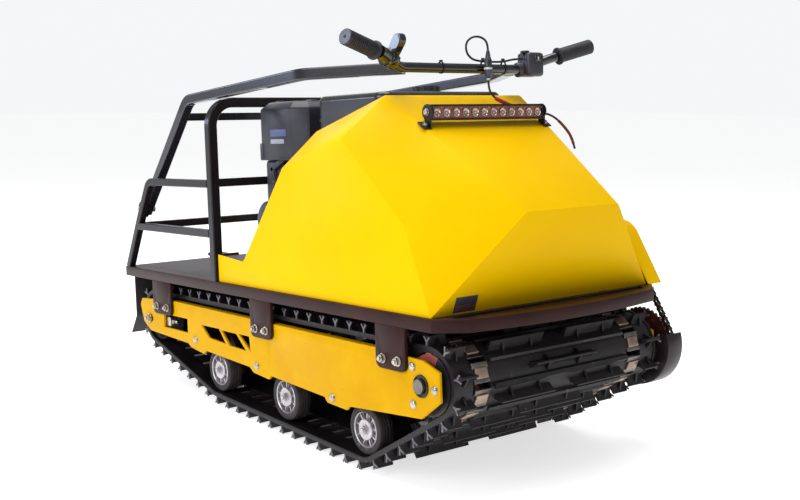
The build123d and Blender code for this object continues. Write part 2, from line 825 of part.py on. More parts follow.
# Rear rack: a bent post and rail on each side, cross rail and pivot tabs
kink_x, kink_z = rack_kink[0], rail_top + rack_kink[1]
elbow_x, elbow_z = rack_elbow[0], rail_top + rack_elbow[1]
hoop_rear = hoop_x - hoop_tube / 2
lower_x = rack_foot_x + (kink_x - rack_foot_x) * (rack_rail_z - rail_top) / (kink_z - rail_top)
with BuildPart() as rack:
    for side in (-1, 1):
        y = side * rack_half
        post = [(rack_foot_x, y, rail_top), (kink_x, y, kink_z),
                (elbow_x, y, elbow_z), (hoop_rear, y, elbow_z)]
        add(square_tube(post, (rack_bend, rack_bend), rack_tube))
        add(square_tube([(lower_x, y, rack_rail_z), (hoop_rear, y, rack_rail_z)], 0, rack_tube))
        plane, depth = slab(side, rack_half - rack_tube / 2 - tab_thick, tab_thick)
        with BuildSketch(plane):
            with BuildLine():
                CenterArc((pivot_x, pivot_z), tab_radius, 0, 360)
                CenterArc((pivot_x + tab_radius, pivot_z - tab_radius / 2), tab_radius / 2, 0, 360)
                CenterArc((pivot_x + 2 * tab_radius, pivot_z + tab_radius / 2), tab_radius / 2, 0, 360)
            make_hull()
            with Locations((pivot_x, pivot_z)):
                Circle(pivot_bolt + fit_gap, mode=Mode.SUBTRACT)
        extrude(amount=depth)
    with Locations((lower_x, 0, rack_rail_z)):
        Box(rack_tube, 2 * rack_half, rack_tube)
    with BuildSketch(Plane.XY.offset(rail_top - rack_tube)):
        with Locations((rail_length / 2, 0)):
            Rectangle(rail_length, 2 * rail_half)
    extrude(amount=rack_tube, mode=Mode.SUBTRACT)
keep(rack, "rear_rack")

# Pivot bolts of the arms
with BuildPart() as pivot_bolts:
    for side in (-1, 1):
        outer = side * (rack_half - rack_tube / 2)
        inner = side * (arm_half - arm_tube / 2 - fit_gap)
        add(cross_rod(pivot_x, pivot_z, pivot_bolt, outer, inner - side * pivot_head_tall))
        for start, way in ((outer, side), (inner, -side)):
            plane, depth = side_plane(start), -way * pivot_head_tall
            with BuildSketch(plane):
                with Locations((pivot_x, pivot_z)):
                    RegularPolygon(pivot_head, 6)
            extrude(amount=depth)
keep(pivot_bolts, "pivot_bolts")

# Arms: two bent tubes, a cross tube, saddles for the bar
bar_points = []
for point in (grip_finish, grip_start, (bar_x, bar_straight, bar_z)):
    bar_points.append((point[0], -point[1], point[2]))
bar_points += [(bar_x, bar_straight, bar_z), grip_start, grip_finish]
rise = Vector(arm_bend_point[0] - pivot_x, 0, arm_bend_point[1] - pivot_z).normalized()
with BuildPart() as arms:
    for side in (-1, 1):
        y = side * arm_half
        tail = Vector(pivot_x, y, pivot_z) - rise * arm_tail
        line = [tail, (arm_bend_point[0], y, arm_bend_point[1]), (arm_end[0], y, arm_end[1]),
                (arm_tip[0], side * arm_tip[1], arm_tip[2])]
        add(square_tube(line, (arm_bend, arm_tip_bend), arm_tube))
        add(cross_rod(pivot_x, pivot_z, pivot_bolt + fit_gap, y - arm_tube, y + arm_tube), mode=Mode.SUBTRACT)
    cross_x = pivot_x + rise.X / rise.Z * (arm_cross_z - pivot_z)
    with Locations((cross_x, 0, arm_cross_z)):
        Box(arm_cross_tube, 2 * arm_half - arm_tube / 2, arm_cross_tube)
    add(round_tube(bar_points, bar_bend, bar_radius + fit_gap), mode=Mode.SUBTRACT)
keep(arms, "arm_frame")

with BuildPart() as handlebar:
    add(round_tube(bar_points, bar_bend, bar_radius))
keep(handlebar, "handlebar")

# Grips on the bar's ends
with BuildPart() as grips:
    for side in (-1, 1):
        start = Vector(grip_start[0], side * grip_start[1], grip_start[2])
        finish = Vector(grip_finish[0], side * grip_finish[1], grip_finish[2])
        along = (finish - start).normalized()
        inner = start + along * bar_bend / 2
        add(rod_between(inner, finish + along * weld_sink, grip_radius))
        add(rod_between(inner, inner + along * lever_thick, grip_flange))
        add(rod_between(start, finish + along * fit_gap, bar_radius + fit_gap), mode=Mode.SUBTRACT)
keep(grips, "grips")

# Switch housing round the bar on the left, thumb throttle on the right
with BuildPart() as switch_housing:
    with Locations((bar_x + bar_radius, switch_y, bar_z + bar_radius)):
        Box(*switch_box)
    fillet(switch_housing.edges(), switch_round)
    add(round_tube(bar_points, bar_bend, bar_radius + fit_gap), mode=Mode.SUBTRACT)
keep(switch_housing, "switch_housing")

with BuildPart() as throttle:
    low, high = throttle_y - throttle_wide / 2, throttle_y + throttle_wide / 2
    share = throttle_out / grip_start_step[1]
    throttle_x = bar_x + share * grip_start_step[0]
    throttle_z = bar_z + share * grip_start_step[2]
    add(cross_rod(throttle_x, throttle_z, throttle_radius, low, high))
    with BuildSketch(side_plane(high)):
        with BuildLine():
            CenterArc((throttle_x, throttle_z + throttle_radius / 2), lever_tip_radius, 0, 360)
            CenterArc((bar_x + lever_reach[0], bar_z + lever_reach[1]), lever_tip_radius, 0, 360)
        make_hull()
    extrude(amount=-lever_thick)
    add(round_tube(bar_points, bar_bend, bar_radius + fit_gap), mode=Mode.SUBTRACT)
keep(throttle, "thumb_throttle")


def block(low_x, high_x, low_y, high_y, low_z, high_z):
    """A plain block between its lowest and highest corners."""
    with BuildPart() as made:
        with Locations(((low_x + high_x) / 2, (low_y + high_y) / 2, (low_z + high_z) / 2)):
            Box(high_x - low_x, high_y - low_y, high_z - low_z)
    return made.part


def from_crank(step):
    """A place given by its steps from the middle of the crankshaft."""
    return engine_x + step[0], step[1], crank_z + step[2]


# Engine: bed, crankcase with a finned cylinder, blower and starter covers
with BuildPart() as engine_bed:
    add(block(engine_x - bed_long / 2, engine_x + bed_long / 2, -bed_wide / 2, bed_wide / 2,
              rail_top, rail_top + bed_tall))
keep(engine_bed, "engine_bed")

with BuildPart() as engine_block:
    add(block(engine_x - case_long / 2, engine_x + case_long / 2, blower_y, blower_y + case_wide,
              case_low, case_high))
    fillet(engine_block.edges().filter_by(Axis.Y), case_round)
    tilt = Plane(origin=(engine_x + cylinder_ahead, 0, crank_z), x_dir=(0, 1, 0),
                 z_dir=(sin(pi * cylinder_tilt / 180), 0, cos(pi * cylinder_tilt / 180)))
    with BuildSketch(tilt):
        Rectangle(cylinder_size, cylinder_size)
    extrude(amount=case_high - crank_z + fin_count * fin_step)
    for number in range(fin_count):
        with BuildSketch(tilt.offset(case_high - crank_z + number * fin_step)):
            RectangleRounded(fin_size, fin_size, case_round)
        extrude(amount=fin_thick)
keep(engine_block, "engine_block")

with BuildPart() as blower:
    add(cross_rod(engine_x - case_round, crank_z, blower_radius, blower_y - blower_deep, blower_y))
    fillet(blower.faces().sort_by(Axis.Y)[0].edges(), case_round)
keep(blower, "blower_cover")

with BuildPart() as starter:
    front = blower_y - blower_deep
    add(cross_rod(engine_x - case_round, crank_z, starter_radius, front - starter_deep, front))
    fillet(starter.faces().sort_by(Axis.Y)[0].edges(), case_round / 2)
    with BuildSketch(side_plane(front - starter_deep)):
        with Locations((engine_x - case_round, crank_z)):
            with PolarLocations(starter_radius * 2 / 3, starter_slots):
                SlotOverall(starter_radius / 3, fin_thick)
    extrude(amount=-starter_deep / 2, mode=Mode.SUBTRACT)
keep(starter, "starter_cover")

with BuildPart() as air_filter:
    with Locations(from_crank(filter_from_crank)):
        Box(*filter_size)
    filter_under = crank_z + filter_from_crank[2] - filter_size[2] / 2
    edges = air_filter.edges().filter_by(Axis.Z).sort_by(Axis.Y)[:2].sort_by(Axis.X)
    chamfer(edges[1], filter_cut)
    chamfer(air_filter.faces().sort_by(Axis.Z)[-1].edges(), filter_cut / 2)
    neck_rear = engine_x - case_long / 2 + case_round
    add(block(neck_rear, neck_rear + neck_wide / 2, -neck_wide, 0, case_high + neck_gap,
              filter_under))
keep(air_filter, "air_filter_box")

tank_under = crank_z + tank_from_crank[2] - tank_size[2] / 2
with BuildPart() as tank:
    with Locations(from_crank(tank_from_crank)):
        Box(*tank_size)
    fillet(tank.edges().filter_by(Axis.Z), tank_round)
    fillet(tank.faces().sort_by(Axis.Z)[-1].edges(), tank_round / 2)
keep(tank, "fuel_tank")

with BuildPart() as tank_bracket:
    case_front = engine_x + case_long / 2
    shelf_half = bracket_half + bracket_step
    for side in (-1, 1):
        y = side * bracket_half
        add(block(case_front, case_front + bracket_sheet, y - bracket_step / 2, y + bracket_step / 2,
                  crank_z, tank_under - bracket_sheet))
    add(block(case_front, case_front + tank_round * 4, -shelf_half, shelf_half,
              tank_under - bracket_sheet, tank_under))
keep(tank_bracket, "tank_bracket")

with BuildPart() as cap:
    with BuildSketch(Plane.XY.offset(tank_under + tank_size[2])):
        with Locations((engine_x + cap_ahead, 0)):
            Circle(cap_radius)
    extrude(amount=cap_tall)
    fillet(cap.faces().sort_by(Axis.Z)[-1].edges(), cap_tall / 4)
keep(cap, "fuel_cap")

with BuildPart() as muffler:
    add(cross_rod(muffler_x, muffler_z, muffler_radius, muffler_y, muffler_y + muffler_long))
    fillet(muffler.edges(), case_round / 2)
    add(cross_rod(muffler_x, muffler_z, tail_pipe, blower_y + case_wide, muffler_y))
keep(muffler, "muffler")

# Belt drive from the engine to the jackshaft, which stands in two blocks
def grooved_pulley(x, z, radius):
    """A pulley with a wedge groove, its shaft across the machine."""
    with BuildPart() as pulley:
        with BuildSketch(Plane(origin=(x, pulley_y, z), x_dir=(0, 1, 0), z_dir=(-1, 0, 0))):
            with BuildLine():
                Polyline(
                    (0, shaft_radius + fit_gap), (pulley_wide, shaft_radius + fit_gap),
                    (pulley_wide, radius), (pulley_wide - pulley_groove / 2, radius),
                    (pulley_wide / 2, radius - 2 * pulley_groove), (pulley_groove / 2, radius),
                    (0, radius), close=True,
                )
            make_face()
        revolve(axis=Axis((x, 0, z), (0, 1, 0)))
    return pulley.part


with BuildPart() as pulleys:
    add(grooved_pulley(engine_x, crank_z, drive_pulley_radius))
    add(cross_rod(engine_x, crank_z, shaft_radius + fit_gap, blower_y + case_wide, pulley_y + pulley_wide))
    add(grooved_pulley(upper_sprocket_x, upper_sprocket_z, driven_pulley_radius))
keep(pulleys, "drive_pulleys")

with BuildPart() as blocks:
    for row in bearing_rows:
        long, wide, tall = bearing_block
        add(block(upper_sprocket_x - long / 2, upper_sprocket_x + long / 2, row - wide / 2, row + wide / 2,
                  rail_top, upper_sprocket_z + tall / 2))
        add(cross_rod(upper_sprocket_x, upper_sprocket_z, shaft_radius + fit_gap, row - wide, row + wide),
            mode=Mode.SUBTRACT)
keep(blocks, "jackshaft_blocks")

# Yellow cover over the upper sprocket, outside the hood's left wall
with BuildPart() as chain_cover:
    cover_extra = chain_tall + cover_room
    for extra, start, finish, mode in (
        (cover_extra, hood_half + fit_gap, chain_box_side, Mode.ADD),
        (cover_extra - hood_sheet, hood_half - cut_over, chain_box_side - hood_sheet, Mode.SUBTRACT),
    ):
        with BuildSketch(side_plane(finish)):
            add(chain_outline(extra))
        extrude(amount=finish - start, mode=mode)
    with Locations((drive_x, chain_y, hood_base - rail_top / 2)):
        Box(rail_top, rail_top, rail_top, mode=Mode.SUBTRACT)
keep(chain_cover, "chain_cover")

# Light bar: finned housing with a frame in front, glass with its cells, two feet down to the hood
with BuildPart() as lamp_body:
    add(block(lamp_x - lamp_deep, lamp_x + lamp_lip / 2, -lamp_half, lamp_half,
              lamp_z - lamp_tall / 2, lamp_z + lamp_tall / 2))
    add(block(lamp_x - lamp_glass, lamp_x + lamp_lip, -lamp_half + lamp_lip, lamp_half - lamp_lip,
              lamp_z - lamp_tall / 2 + lamp_lip, lamp_z + lamp_tall / 2 - lamp_lip), mode=Mode.SUBTRACT)
    fin_room = lamp_tall / lamp_fins
    for number in range(lamp_fins - 1):
        middle = lamp_z - lamp_tall / 2 + fin_room * (number + 1)
        add(block(lamp_x - lamp_deep, lamp_x - lamp_deep + lamp_fin_deep, -lamp_half, lamp_half,
                  middle - fin_room / 4, middle + fin_room / 4), mode=Mode.SUBTRACT)
keep(lamp_body, "lamp_housing")

with BuildPart() as lamp_front:
    add(block(lamp_x - lamp_glass, lamp_x, -lamp_half + lamp_lip, lamp_half - lamp_lip,
              lamp_z - lamp_tall / 2 + lamp_lip, lamp_z + lamp_tall / 2 - lamp_lip))
    cell_pitch = 2 * (lamp_half - lamp_lip) / lamp_cells
    with BuildSketch(Plane(origin=(lamp_x, 0, lamp_z), x_dir=(0, 1, 0), z_dir=(1, 0, 0))):
        with GridLocations(cell_pitch, 0, lamp_cells, 1):
            RegularPolygon(cell_radius, cell_sides)
    extrude(amount=cell_proud)
keep(lamp_front, "lamp_glass")


def facet_z(x):
    """Height of the hood's top facet at x."""
    high, low = (Vector(*hood_corner(name, 1)) for name in ("ridge", "nose"))
    return high.Z - (x - high.X) * (high.Z - low.Z) / (low.X - high.X)


with BuildPart() as lamp_feet:
    for side in (-1, 1):
        inner = side * (lamp_half + fit_gap)
        plane, depth = side_plane(inner), -side * lamp_foot_thick
        back, front = lamp_x - lamp_deep, lamp_x
        with BuildSketch(plane):
            with BuildLine():
                Polyline(
                    (back, lamp_z + lamp_tall / 4), (front, lamp_z + lamp_tall / 4),
                    (front + lamp_foot_thick, facet_z(front + lamp_foot_thick) + fit_gap),
                    (back, facet_z(back) + fit_gap), close=True,
                )
            make_face()
        extrude(amount=depth)
keep(lamp_feet, "lamp_feet")

# Mud flap behind the belt, tow hitch on the rear cross tube
with BuildPart() as mud_flap:
    with BuildSketch(side_plane(flap_half)):
        with BuildLine():
            Polyline(
                (0, rail_top), (0, flap_low + flap_flare_tall), (-flap_flare, flap_low),
                (-flap_flare - flap_thick, flap_low), (-flap_thick, flap_low + flap_flare_tall),
                (-flap_thick, rail_top), close=True,
            )
        make_face()
    extrude(amount=2 * flap_half)
keep(mud_flap, "mud_flap")

with BuildPart() as tow_hitch:
    middle = rail_under + rail_deep / 2
    for level in (middle - hitch_jaw / 2 - hitch_thick, middle + hitch_jaw / 2):
        with BuildSketch(Plane.XY.offset(level)):
            with BuildLine():
                CenterArc((-hitch_long, 0), hitch_wide / 2, 0, 360)
                CenterArc((-flap_thick - hitch_wide / 2, 0), hitch_wide / 2, 0, 360)
            make_hull()
            with Locations((-hitch_long, 0)):
                Circle(hitch_bore, mode=Mode.SUBTRACT)
        extrude(amount=hitch_thick)
    add(block(-flap_thick - hitch_thick, -flap_thick, -hitch_wide, hitch_wide,
              middle - hitch_jaw / 2 - hitch_thick, middle + hitch_jaw / 2 + hitch_thick))
keep(tow_hitch, "tow_hitch")

# Belt tensioners: a threaded rod from the axle to a block in the window
window_x = plate_point(tension_window_share[:2])[0]
window_rear = window_x - plate_long * tension_window_share[2] / 2
with BuildPart() as tensioners:
    for side in (-1, 1):
        middle = side * (plate_inner - tension_block / 2)
        add(rod_between((idler_x + axle_radius, middle, drum_z), (window_x, middle, drum_z), tension_rod))
        with Locations((window_rear + tension_block / 2, middle, drum_z)):
            Box(tension_block, tension_block, tension_block)
keep(tensioners, "belt_tensioners")


def cord(route, radius):
    """A cord's tube: straight runs joined by tangent arcs as large as they allow."""
    places = [Vector(bar_x + ahead, left, rail_top + up) for ahead, left, up in route]
    radii = []
    for before, at, after in zip(places, places[1:], places[2:]):
        turn = (at - before).get_angle(after - at)
        shorter = min((at - before).length, (after - at).length)
        radii.append(cord_arc_share * shorter / tan(pi * turn / 360))
    tube = round_tube(places, radii, radius)
    print("cord radii", [round(value, 1) for value in radii], "volume", round(tube.volume))
    return tube


# Plug in two halves, wires to the light bar and along the handlebar
plug_ends = [(bar_x + plug_ahead, plug_y, rail_top + up) for up in (plug_low_up, plug_split_up, plug_high_up)]
with BuildPart() as plug_upper:
    add(rod_between(plug_ends[1], plug_ends[2], plug_radius))
keep(plug_upper, "plug_upper")

with BuildPart() as plug_lower:
    add(rod_between(plug_ends[0], plug_ends[1], plug_radius))
keep(plug_lower, "plug_lower")

for route, name in ((wire_route, "lamp_wire"), (lead_route, "lamp_lead"), (cable_route, "switch_cable")):
    with BuildPart() as wire:
        add(cord(route, wire_radius))
    keep(wire, name)

# Set the machine on its belt, nose up, with the origin on the ground under its middle
rake = degrees(atan2(first_wheel[1] - last_wheel[1], last_wheel[0] - first_wheel[0]))
raked = {label: part.rotate(Axis.Y, -rake) for label, part in finished.items()}
whole = Compound(list(raked.values())).bounding_box()
shift = Vector(-(whole.min.X + whole.max.X) / 2, -(whole.min.Y + whole.max.Y) / 2, -whole.min.Z)
for label, part in raked.items():
    placed = part.moved(Location(shift))
    placed.label = label
    export_step(placed, f"parts/{label}.step")


def placed_point(x, y, z):
    """Where a point of the chassis lies once the machine is set on its belt."""
    return tuple(Vector(x, y, z).rotate(Axis.Y, -rake) + shift)


print("size", whole.size, "rake", rake, "shift", shift)
for name, point in (
    ("pivot", (pivot_x, 0, pivot_z)),
    ("hitch", (-hitch_long, 0, rail_under + rail_deep / 2)),
    ("deck", (hoop_x / 2, 0, rail_top)),
):
    print(name, [round(value, 3) for value in placed_point(*point)])
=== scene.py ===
import json
from math import cos, pi, radians, sin

import bmesh
import bpy
from mathutils import Matrix, Vector


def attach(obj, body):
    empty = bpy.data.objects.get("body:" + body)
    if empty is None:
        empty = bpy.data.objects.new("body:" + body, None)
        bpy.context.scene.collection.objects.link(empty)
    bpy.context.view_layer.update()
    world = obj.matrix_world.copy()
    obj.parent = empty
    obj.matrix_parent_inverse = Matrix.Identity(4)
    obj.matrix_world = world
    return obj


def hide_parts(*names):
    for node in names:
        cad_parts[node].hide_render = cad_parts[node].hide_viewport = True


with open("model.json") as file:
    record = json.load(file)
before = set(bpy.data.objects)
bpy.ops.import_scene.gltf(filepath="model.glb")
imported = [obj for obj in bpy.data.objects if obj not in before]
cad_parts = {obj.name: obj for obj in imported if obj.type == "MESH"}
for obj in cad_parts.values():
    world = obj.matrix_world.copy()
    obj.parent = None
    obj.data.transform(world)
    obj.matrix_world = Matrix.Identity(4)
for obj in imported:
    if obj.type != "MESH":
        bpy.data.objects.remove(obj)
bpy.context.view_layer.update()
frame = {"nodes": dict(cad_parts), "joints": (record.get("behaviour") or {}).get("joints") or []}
nodes = frame["nodes"]
scene = bpy.context.scene
print("model loaded,", len(nodes), "nodes")

# The tug stands nose up: level sizes in millimetres are turned and moved to the model
stance = {"rake": radians(3.1205), "pivot": (84, 0, 597)}
foldPoint = Vector(frame["joints"][0]["pos_m"])


def turned(x, y, z):
    lean, rise = cos(stance["rake"]), sin(stance["rake"])
    return Vector((x * lean - z * rise, y, x * rise + z * lean))


levelShift = foldPoint - turned(*stance["pivot"]) / 1000
levelToModel = (Matrix.Translation(levelShift) @ Matrix.Rotation(-stance["rake"], 4, "Y")
                @ Matrix.Scale(0.001, 4))


def at(x, y, z):
    # millimetres on the level machine to metres on the raked one
    return turned(x, y, z) / 1000 + levelShift


# Camera, where the photographer stood
view = {"place": (3004.1, -1668.4, 784.6), "yaw": 2.4768, "pitch": -0.1032, "roll": -0.0275, "lens": 49.57,
        "sensor": 36}
flat = cos(view["pitch"])
ahead = Vector((flat * cos(view["yaw"]), flat * sin(view["yaw"]), sin(view["pitch"])))
right = ahead.cross(Vector((0, 0, 1))).normalized()
above = right.cross(ahead)
tiltedRight = right * cos(view["roll"]) + above * sin(view["roll"])
tiltedUp = above * cos(view["roll"]) - right * sin(view["roll"])
axes = [turned(*v) for v in (tiltedRight, tiltedUp, -ahead)]
camera = bpy.data.objects.new("camera", bpy.data.cameras.new("camera"))
camera.data.sensor_width = view["sensor"]
camera.data.lens = view["lens"]
camera.matrix_world = Matrix.Translation(at(*view["place"])) @ Matrix(axes).transposed().to_4x4()
scene.collection.objects.link(camera)
scene.camera = camera


# Nodes, for finishes and for geometry trees
def fill(tree, made, values):
    # each input, by name or number, takes a value or another node's socket
    for key, value in values.items():
        if isinstance(value, bpy.types.NodeSocket):
            tree.links.new(value, made.inputs[key])
        else:
            made.inputs[key].default_value = value
    return made


def addStep(tree, kind, settings=None, numbered=None, **inputs):
    # a new node with its settings, and inputs by number or by name
    made = tree.nodes.new(kind)
    for name, value in (settings or {}).items():
        setattr(made, name, value)
    fill(tree, made, {name.replace("_", " "): value for name, value in inputs.items()})
    return fill(tree, made, numbered or {})


# Finishes
def tint(code):
    # a colour written as six hex digits, in the renderer's linear values
    parts = [int(code[i:i + 2], 16) / 255 for i in (0, 2, 4)]
    return [p / 12.92 if p < 0.04045 else ((p + 0.055) / 1.055) ** 2.4 for p in parts] + [1]


def grey(value):
    return (value, value, value, 1)


def ramp(tree, source, *stops):
    # a share turned into a colour between two stops of place and colour
    made = addStep(tree, "ShaderNodeValToRGB", Fac=source)
    for element, (place, colour) in zip(made.color_ramp.elements, stops):
        element.position, element.color = place, colour
    return made.outputs["Color"]


def blend(tree, mask, under, over):
    return addStep(tree, "ShaderNodeMix", {"data_type": "RGBA"}, {0: mask, 6: under, 7: over}).outputs[2]


def finish(name, light, dark, rough, patch, grain, bump, metal=0, coat=0, depth=0.0004, dustAndReflection=None,
           specks=None, gloss=0.5):
    # two tones in soft patches, a fine grain in height, specks, and a paler tone on what looks up: dust, and on
    # the tank a painted reflection of the yellow hood
    mat = bpy.data.materials.new(name)
    mat.use_nodes = True
    tree = mat.node_tree
    where = addStep(tree, "ShaderNodeTexCoord").outputs["Object"]
    patches = addStep(tree, "ShaderNodeTexNoise", Vector=where, Scale=patch, Detail=5, Roughness=0.6)
    grains = addStep(tree, "ShaderNodeTexNoise", Vector=where, Scale=grain, Detail=3)
    colour = ramp(tree, patches.outputs["Fac"], (0.3, tint(dark)), (0.7, tint(light)))
    if specks:
        code, size, amount = specks
        dots = addStep(tree, "ShaderNodeTexNoise", Vector=where, Scale=size, Detail=6, Roughness=0.7)
        mask = ramp(tree, dots.outputs["Fac"], (amount, grey(0)), (amount + 0.06, grey(1)))
        colour = blend(tree, mask, colour, tint(code))
    if dustAndReflection:
        code, share = dustAndReflection
        split = addStep(tree, "ShaderNodeSeparateXYZ",
                        Vector=addStep(tree, "ShaderNodeNewGeometry").outputs["Normal"])
        upward = ramp(tree, split.outputs["Z"], (0.1, grey(0)), (0.95, grey(share)))
        clouds = ramp(tree, patches.outputs["Fac"], (0.35, grey(0.35)), (0.65, grey(1)))
        mixed = addStep(tree, "ShaderNodeMath", {"operation": "MULTIPLY"}, {0: upward, 1: clouds})
        colour = blend(tree, mixed.outputs["Value"], colour, tint(code))
    wear = addStep(tree, "ShaderNodeMapRange", Value=patches.outputs["Fac"], To_Min=rough[0], To_Max=rough[1])
    relief = addStep(tree, "ShaderNodeBump", Strength=bump, Distance=depth, Height=grains.outputs["Fac"])
    fill(tree, tree.nodes["Principled BSDF"], {
        "Metallic": metal, "Coat Weight": coat, "Coat Roughness": 0.04, "Specular IOR Level": gloss,
        "Base Color": colour, "Roughness": wear.outputs["Result"], "Normal": relief.outputs["Normal"]})
    return mat


paint = {
    "hood": finish("hoodYellow", "f8c700", "f4bf00", (0.32, 0.42), 3, 90, 0.05, gloss=0.03,
                   dustAndReflection=("e0b838", 0.03)),
    "plate": finish("plateYellow", "dfab00", "d29b00", (0.34, 0.46), 7, 260, 0.12, gloss=0.05,
                    specks=("8a6a1c", 60, 0.68)),
    "tube": finish("brownBlack", "3a201d", "281513", (0.32, 0.44), 8, 420, 0.14, coat=0.03, gloss=0.12,
                   dustAndReflection=("6a5650", 0.04)),
    "rack": finish("tubeBlack", "241d20", "181315", (0.26, 0.36), 8, 420, 0.12, coat=0.12, gloss=0.3,
                   dustAndReflection=("5a5054", 0.04)),
    "arm": finish("armBlack", "1f1d26", "15141a", (0.16, 0.24), 8, 420, 0.06, coat=0.6),
    "deck": finish("deckBrown", "332c31", "262025", (0.32, 0.48), 6, 300, 0.10, gloss=0.2,
                   dustAndReflection=("6c676c", 0.08)),
    "belt": finish("beltRubber", "211b1f", "0f0c0e", (0.34, 0.62), 14, 340, 0.35, depth=0.0008, gloss=0.4,
                   dustAndReflection=("5d5450", 0.12), specks=("5a4b4c", 45, 0.64)),
    "tyre": finish("tyreRubber", "322c2d", "201c1d", (0.55, 0.75), 22, 300, 0.3,
                   specks=("6a5d58", 70, 0.62)),
    "alloy": finish("castWheel", "d6d2d5", "aca7ab", (0.26, 0.42), 30, 500, 0.25, metal=0.7),
    "zinc": finish("zincPlate", "cfc9bd", "a39c92", (0.22, 0.36), 60, 700, 0.12, metal=1),
    "steel": finish("rubbedSteel", "8a8580", "5f5a57", (0.30, 0.50), 30, 600, 0.2, metal=1,
                    specks=("6d4a35", 90, 0.64)),
    "clip": finish("clipSteel", "b9a394", "8e7768", (0.30, 0.48), 40, 500, 0.2, metal=0.75,
                   specks=("5b4334", 80, 0.6)),
    "chain": finish("oiledChain", "6b605a", "3c3532", (0.25, 0.45), 50, 500, 0.2, metal=1),
    "black": finish("satinBlack", "25262a", "17181b", (0.35, 0.5), 12, 420, 0.16, coat=0.05),
    "bar": finish("glossBlack", "141416", "0c0c0e", (0.10, 0.18), 12, 300, 0.04, coat=0.8),
    "plastic": finish("mouldedBlack", "36343e", "27252e", (0.28, 0.4), 14, 900, 0.35, dustAndReflection=("5b5c63", 0.10)),
    # the paler olive tone on the tank's upward faces is a painted reflection of the yellow hood
    "tank": finish("tankBlack", "2d2e30", "1d1e20", (0.2, 0.32), 8, 300, 0.08, coat=0.3,
                   dustAndReflection=("6a675c", 0.25)),
    "cast": finish("castAlloy", "77787c", "56575b", (0.45, 0.6), 22, 420, 0.5, metal=0.8, depth=0.0006),
    "cover": finish("coverBlueGrey", "424d66", "2f3749", (0.3, 0.45), 12, 420, 0.15, coat=0.15),
    "exhaust": finish("heatedSteel", "6d665e", "453f3b", (0.4, 0.6), 18, 300, 0.25, metal=0.9,
                      specks=("6d4630", 50, 0.6)),
    "grip": finish("gripRubber", "242428", "19191d", (0.5, 0.68), 40, 900, 0.3),
    "flap": finish("flapSheet", "2f292c", "221d20", (0.4, 0.6), 9, 300, 0.25, specks=("5c524c", 40, 0.64)),
    "lamp": finish("lampBlack", "1d1d20", "131315", (0.3, 0.42), 20, 700, 0.15, metal=0.3),
    "wire": finish("wireBlack", "1c1c1e", "121214", (0.35, 0.5), 40, 900, 0.1),
    "red": finish("redSleeve", "c23a40", "9c282c", (0.35, 0.5), 40, 900, 0.1),
    "primer": finish("primerRed", "c4685c", "9c4a42", (0.4, 0.55), 16, 400, 0.2,
                     specks=("5b3a34", 60, 0.62)),
    "oldPrimer": finish("oldPrimer", "582725", "371918", (0.4, 0.55), 16, 400, 0.2,
                        specks=("8a4a42", 40, 0.6)),
    # lighter purple-grey for the Y webs on the belt's edges: wear, and a painted highlight on the lug edges
    "web": finish("wornRubberWithHighlight", "77717c", "4b474f", (0.3, 0.5), 60, 500, 0.2),
    "bare": finish("bareLabel", "423e47", "323038", (0.3, 0.42), 30, 500, 0.05),
    "plateBlue": finish("bareBlue", "56648f", "48547a", (0.3, 0.42), 30, 500, 0.05),
    "platePale": finish("barePale", "a9acbc", "9194a4", (0.3, 0.42), 30, 500, 0.05),
    "plateBrown": finish("bareBrown", "6a4038", "4c2c28", (0.35, 0.5), 40, 500, 0.06),
    "amber": finish("cupPanel", "b4695a", "7f463a", (0.35, 0.5), 90, 600, 0.1, coat=0.1),
    "rust": finish("rustedTab", "b5562c", "7c3a20", (0.5, 0.7), 60, 500, 0.35, metal=0.2),
    "gripEnd": finish("gripEnd", "6d7280", "585d6a", (0.45, 0.6), 60, 700, 0.15),
    "paleDot": finish("paleMoulding", "dcdde0", "c2c4c9", (0.3, 0.45), 80, 800, 0.1),
    "darkRed": finish("darkRedSleeve", "6f2422", "4b1a1a", (0.35, 0.5), 40, 900, 0.1),
    "reflector": finish("lampReflector", "d8cbc4", "a4938a", (0.12, 0.22), 60, 500, 0.05, metal=1),
}
lens = paint["lens"] = bpy.data.materials.new("clearLens")
lens.use_nodes = True
lensWaves = addStep(lens.node_tree, "ShaderNodeTexNoise", Scale=60,
                    Vector=addStep(lens.node_tree, "ShaderNodeTexCoord").outputs["Object"])
lensRelief = addStep(lens.node_tree, "ShaderNodeBump", Strength=0.03, Distance=0.0003,
                     Height=lensWaves.outputs["Fac"])
fill(lens.node_tree, lens.node_tree.nodes["Principled BSDF"], {
    "Transmission Weight": 1, "Roughness": 0.03, "IOR": 1.1, "Base Color": (1, 0.98, 0.96, 1),
    "Normal": lensRelief.outputs["Normal"]})

finishNodes = {
    "hood": "hood chain_cover", "plate": "side_plate_port side_plate_starboard",
    "tube": "frame hangers engine_bed wheel_carriers tow_hitch", "rack": "rear_rack hoop chain_guard",
    "arm": "arm_frame", "deck": "deck", "black": "tank_bracket shaft_bearings", "belt": "track_belt",
    "tyre": "road_tyres idler_wheels", "alloy": "road_wheels", "zinc": "belt_tensioners pivot_bolts",
    "steel": "drive_shaft idler_shaft jackshaft", "primer": "drive_sprockets",
    "oldPrimer": "lower_sprocket", "chain": "drive_chain",
    "cast": "jackshaft_blocks drive_pulleys engine_block", "cover": "blower_cover starter_cover",
    "plastic": "air_filter_box fuel_cap switch_housing thumb_throttle plug_lower plug_upper",
    "tank": "fuel_tank", "exhaust": "muffler", "bar": "handlebar", "grip": "grips",
    "lamp": "lamp_housing lamp_feet", "lens": "lamp_glass", "flap": "mud_flap",
    "wire": "lamp_wire lamp_lead switch_cable",
}
nodeFinish = {name: key for key, names in finishNodes.items() for name in names.split()}
for name, node in nodes.items():
    node.data.materials.clear()
    node.data.materials.append(paint[nodeFinish[name]])
print("finishes made")


# Small tools: forms are made in level millimetres, then set on the raked model
edges = {"smooth": radians(35), "sharp": radians(28), "flat": radians(0.5), "weld": 0.001, "weldModel": 0.00002}


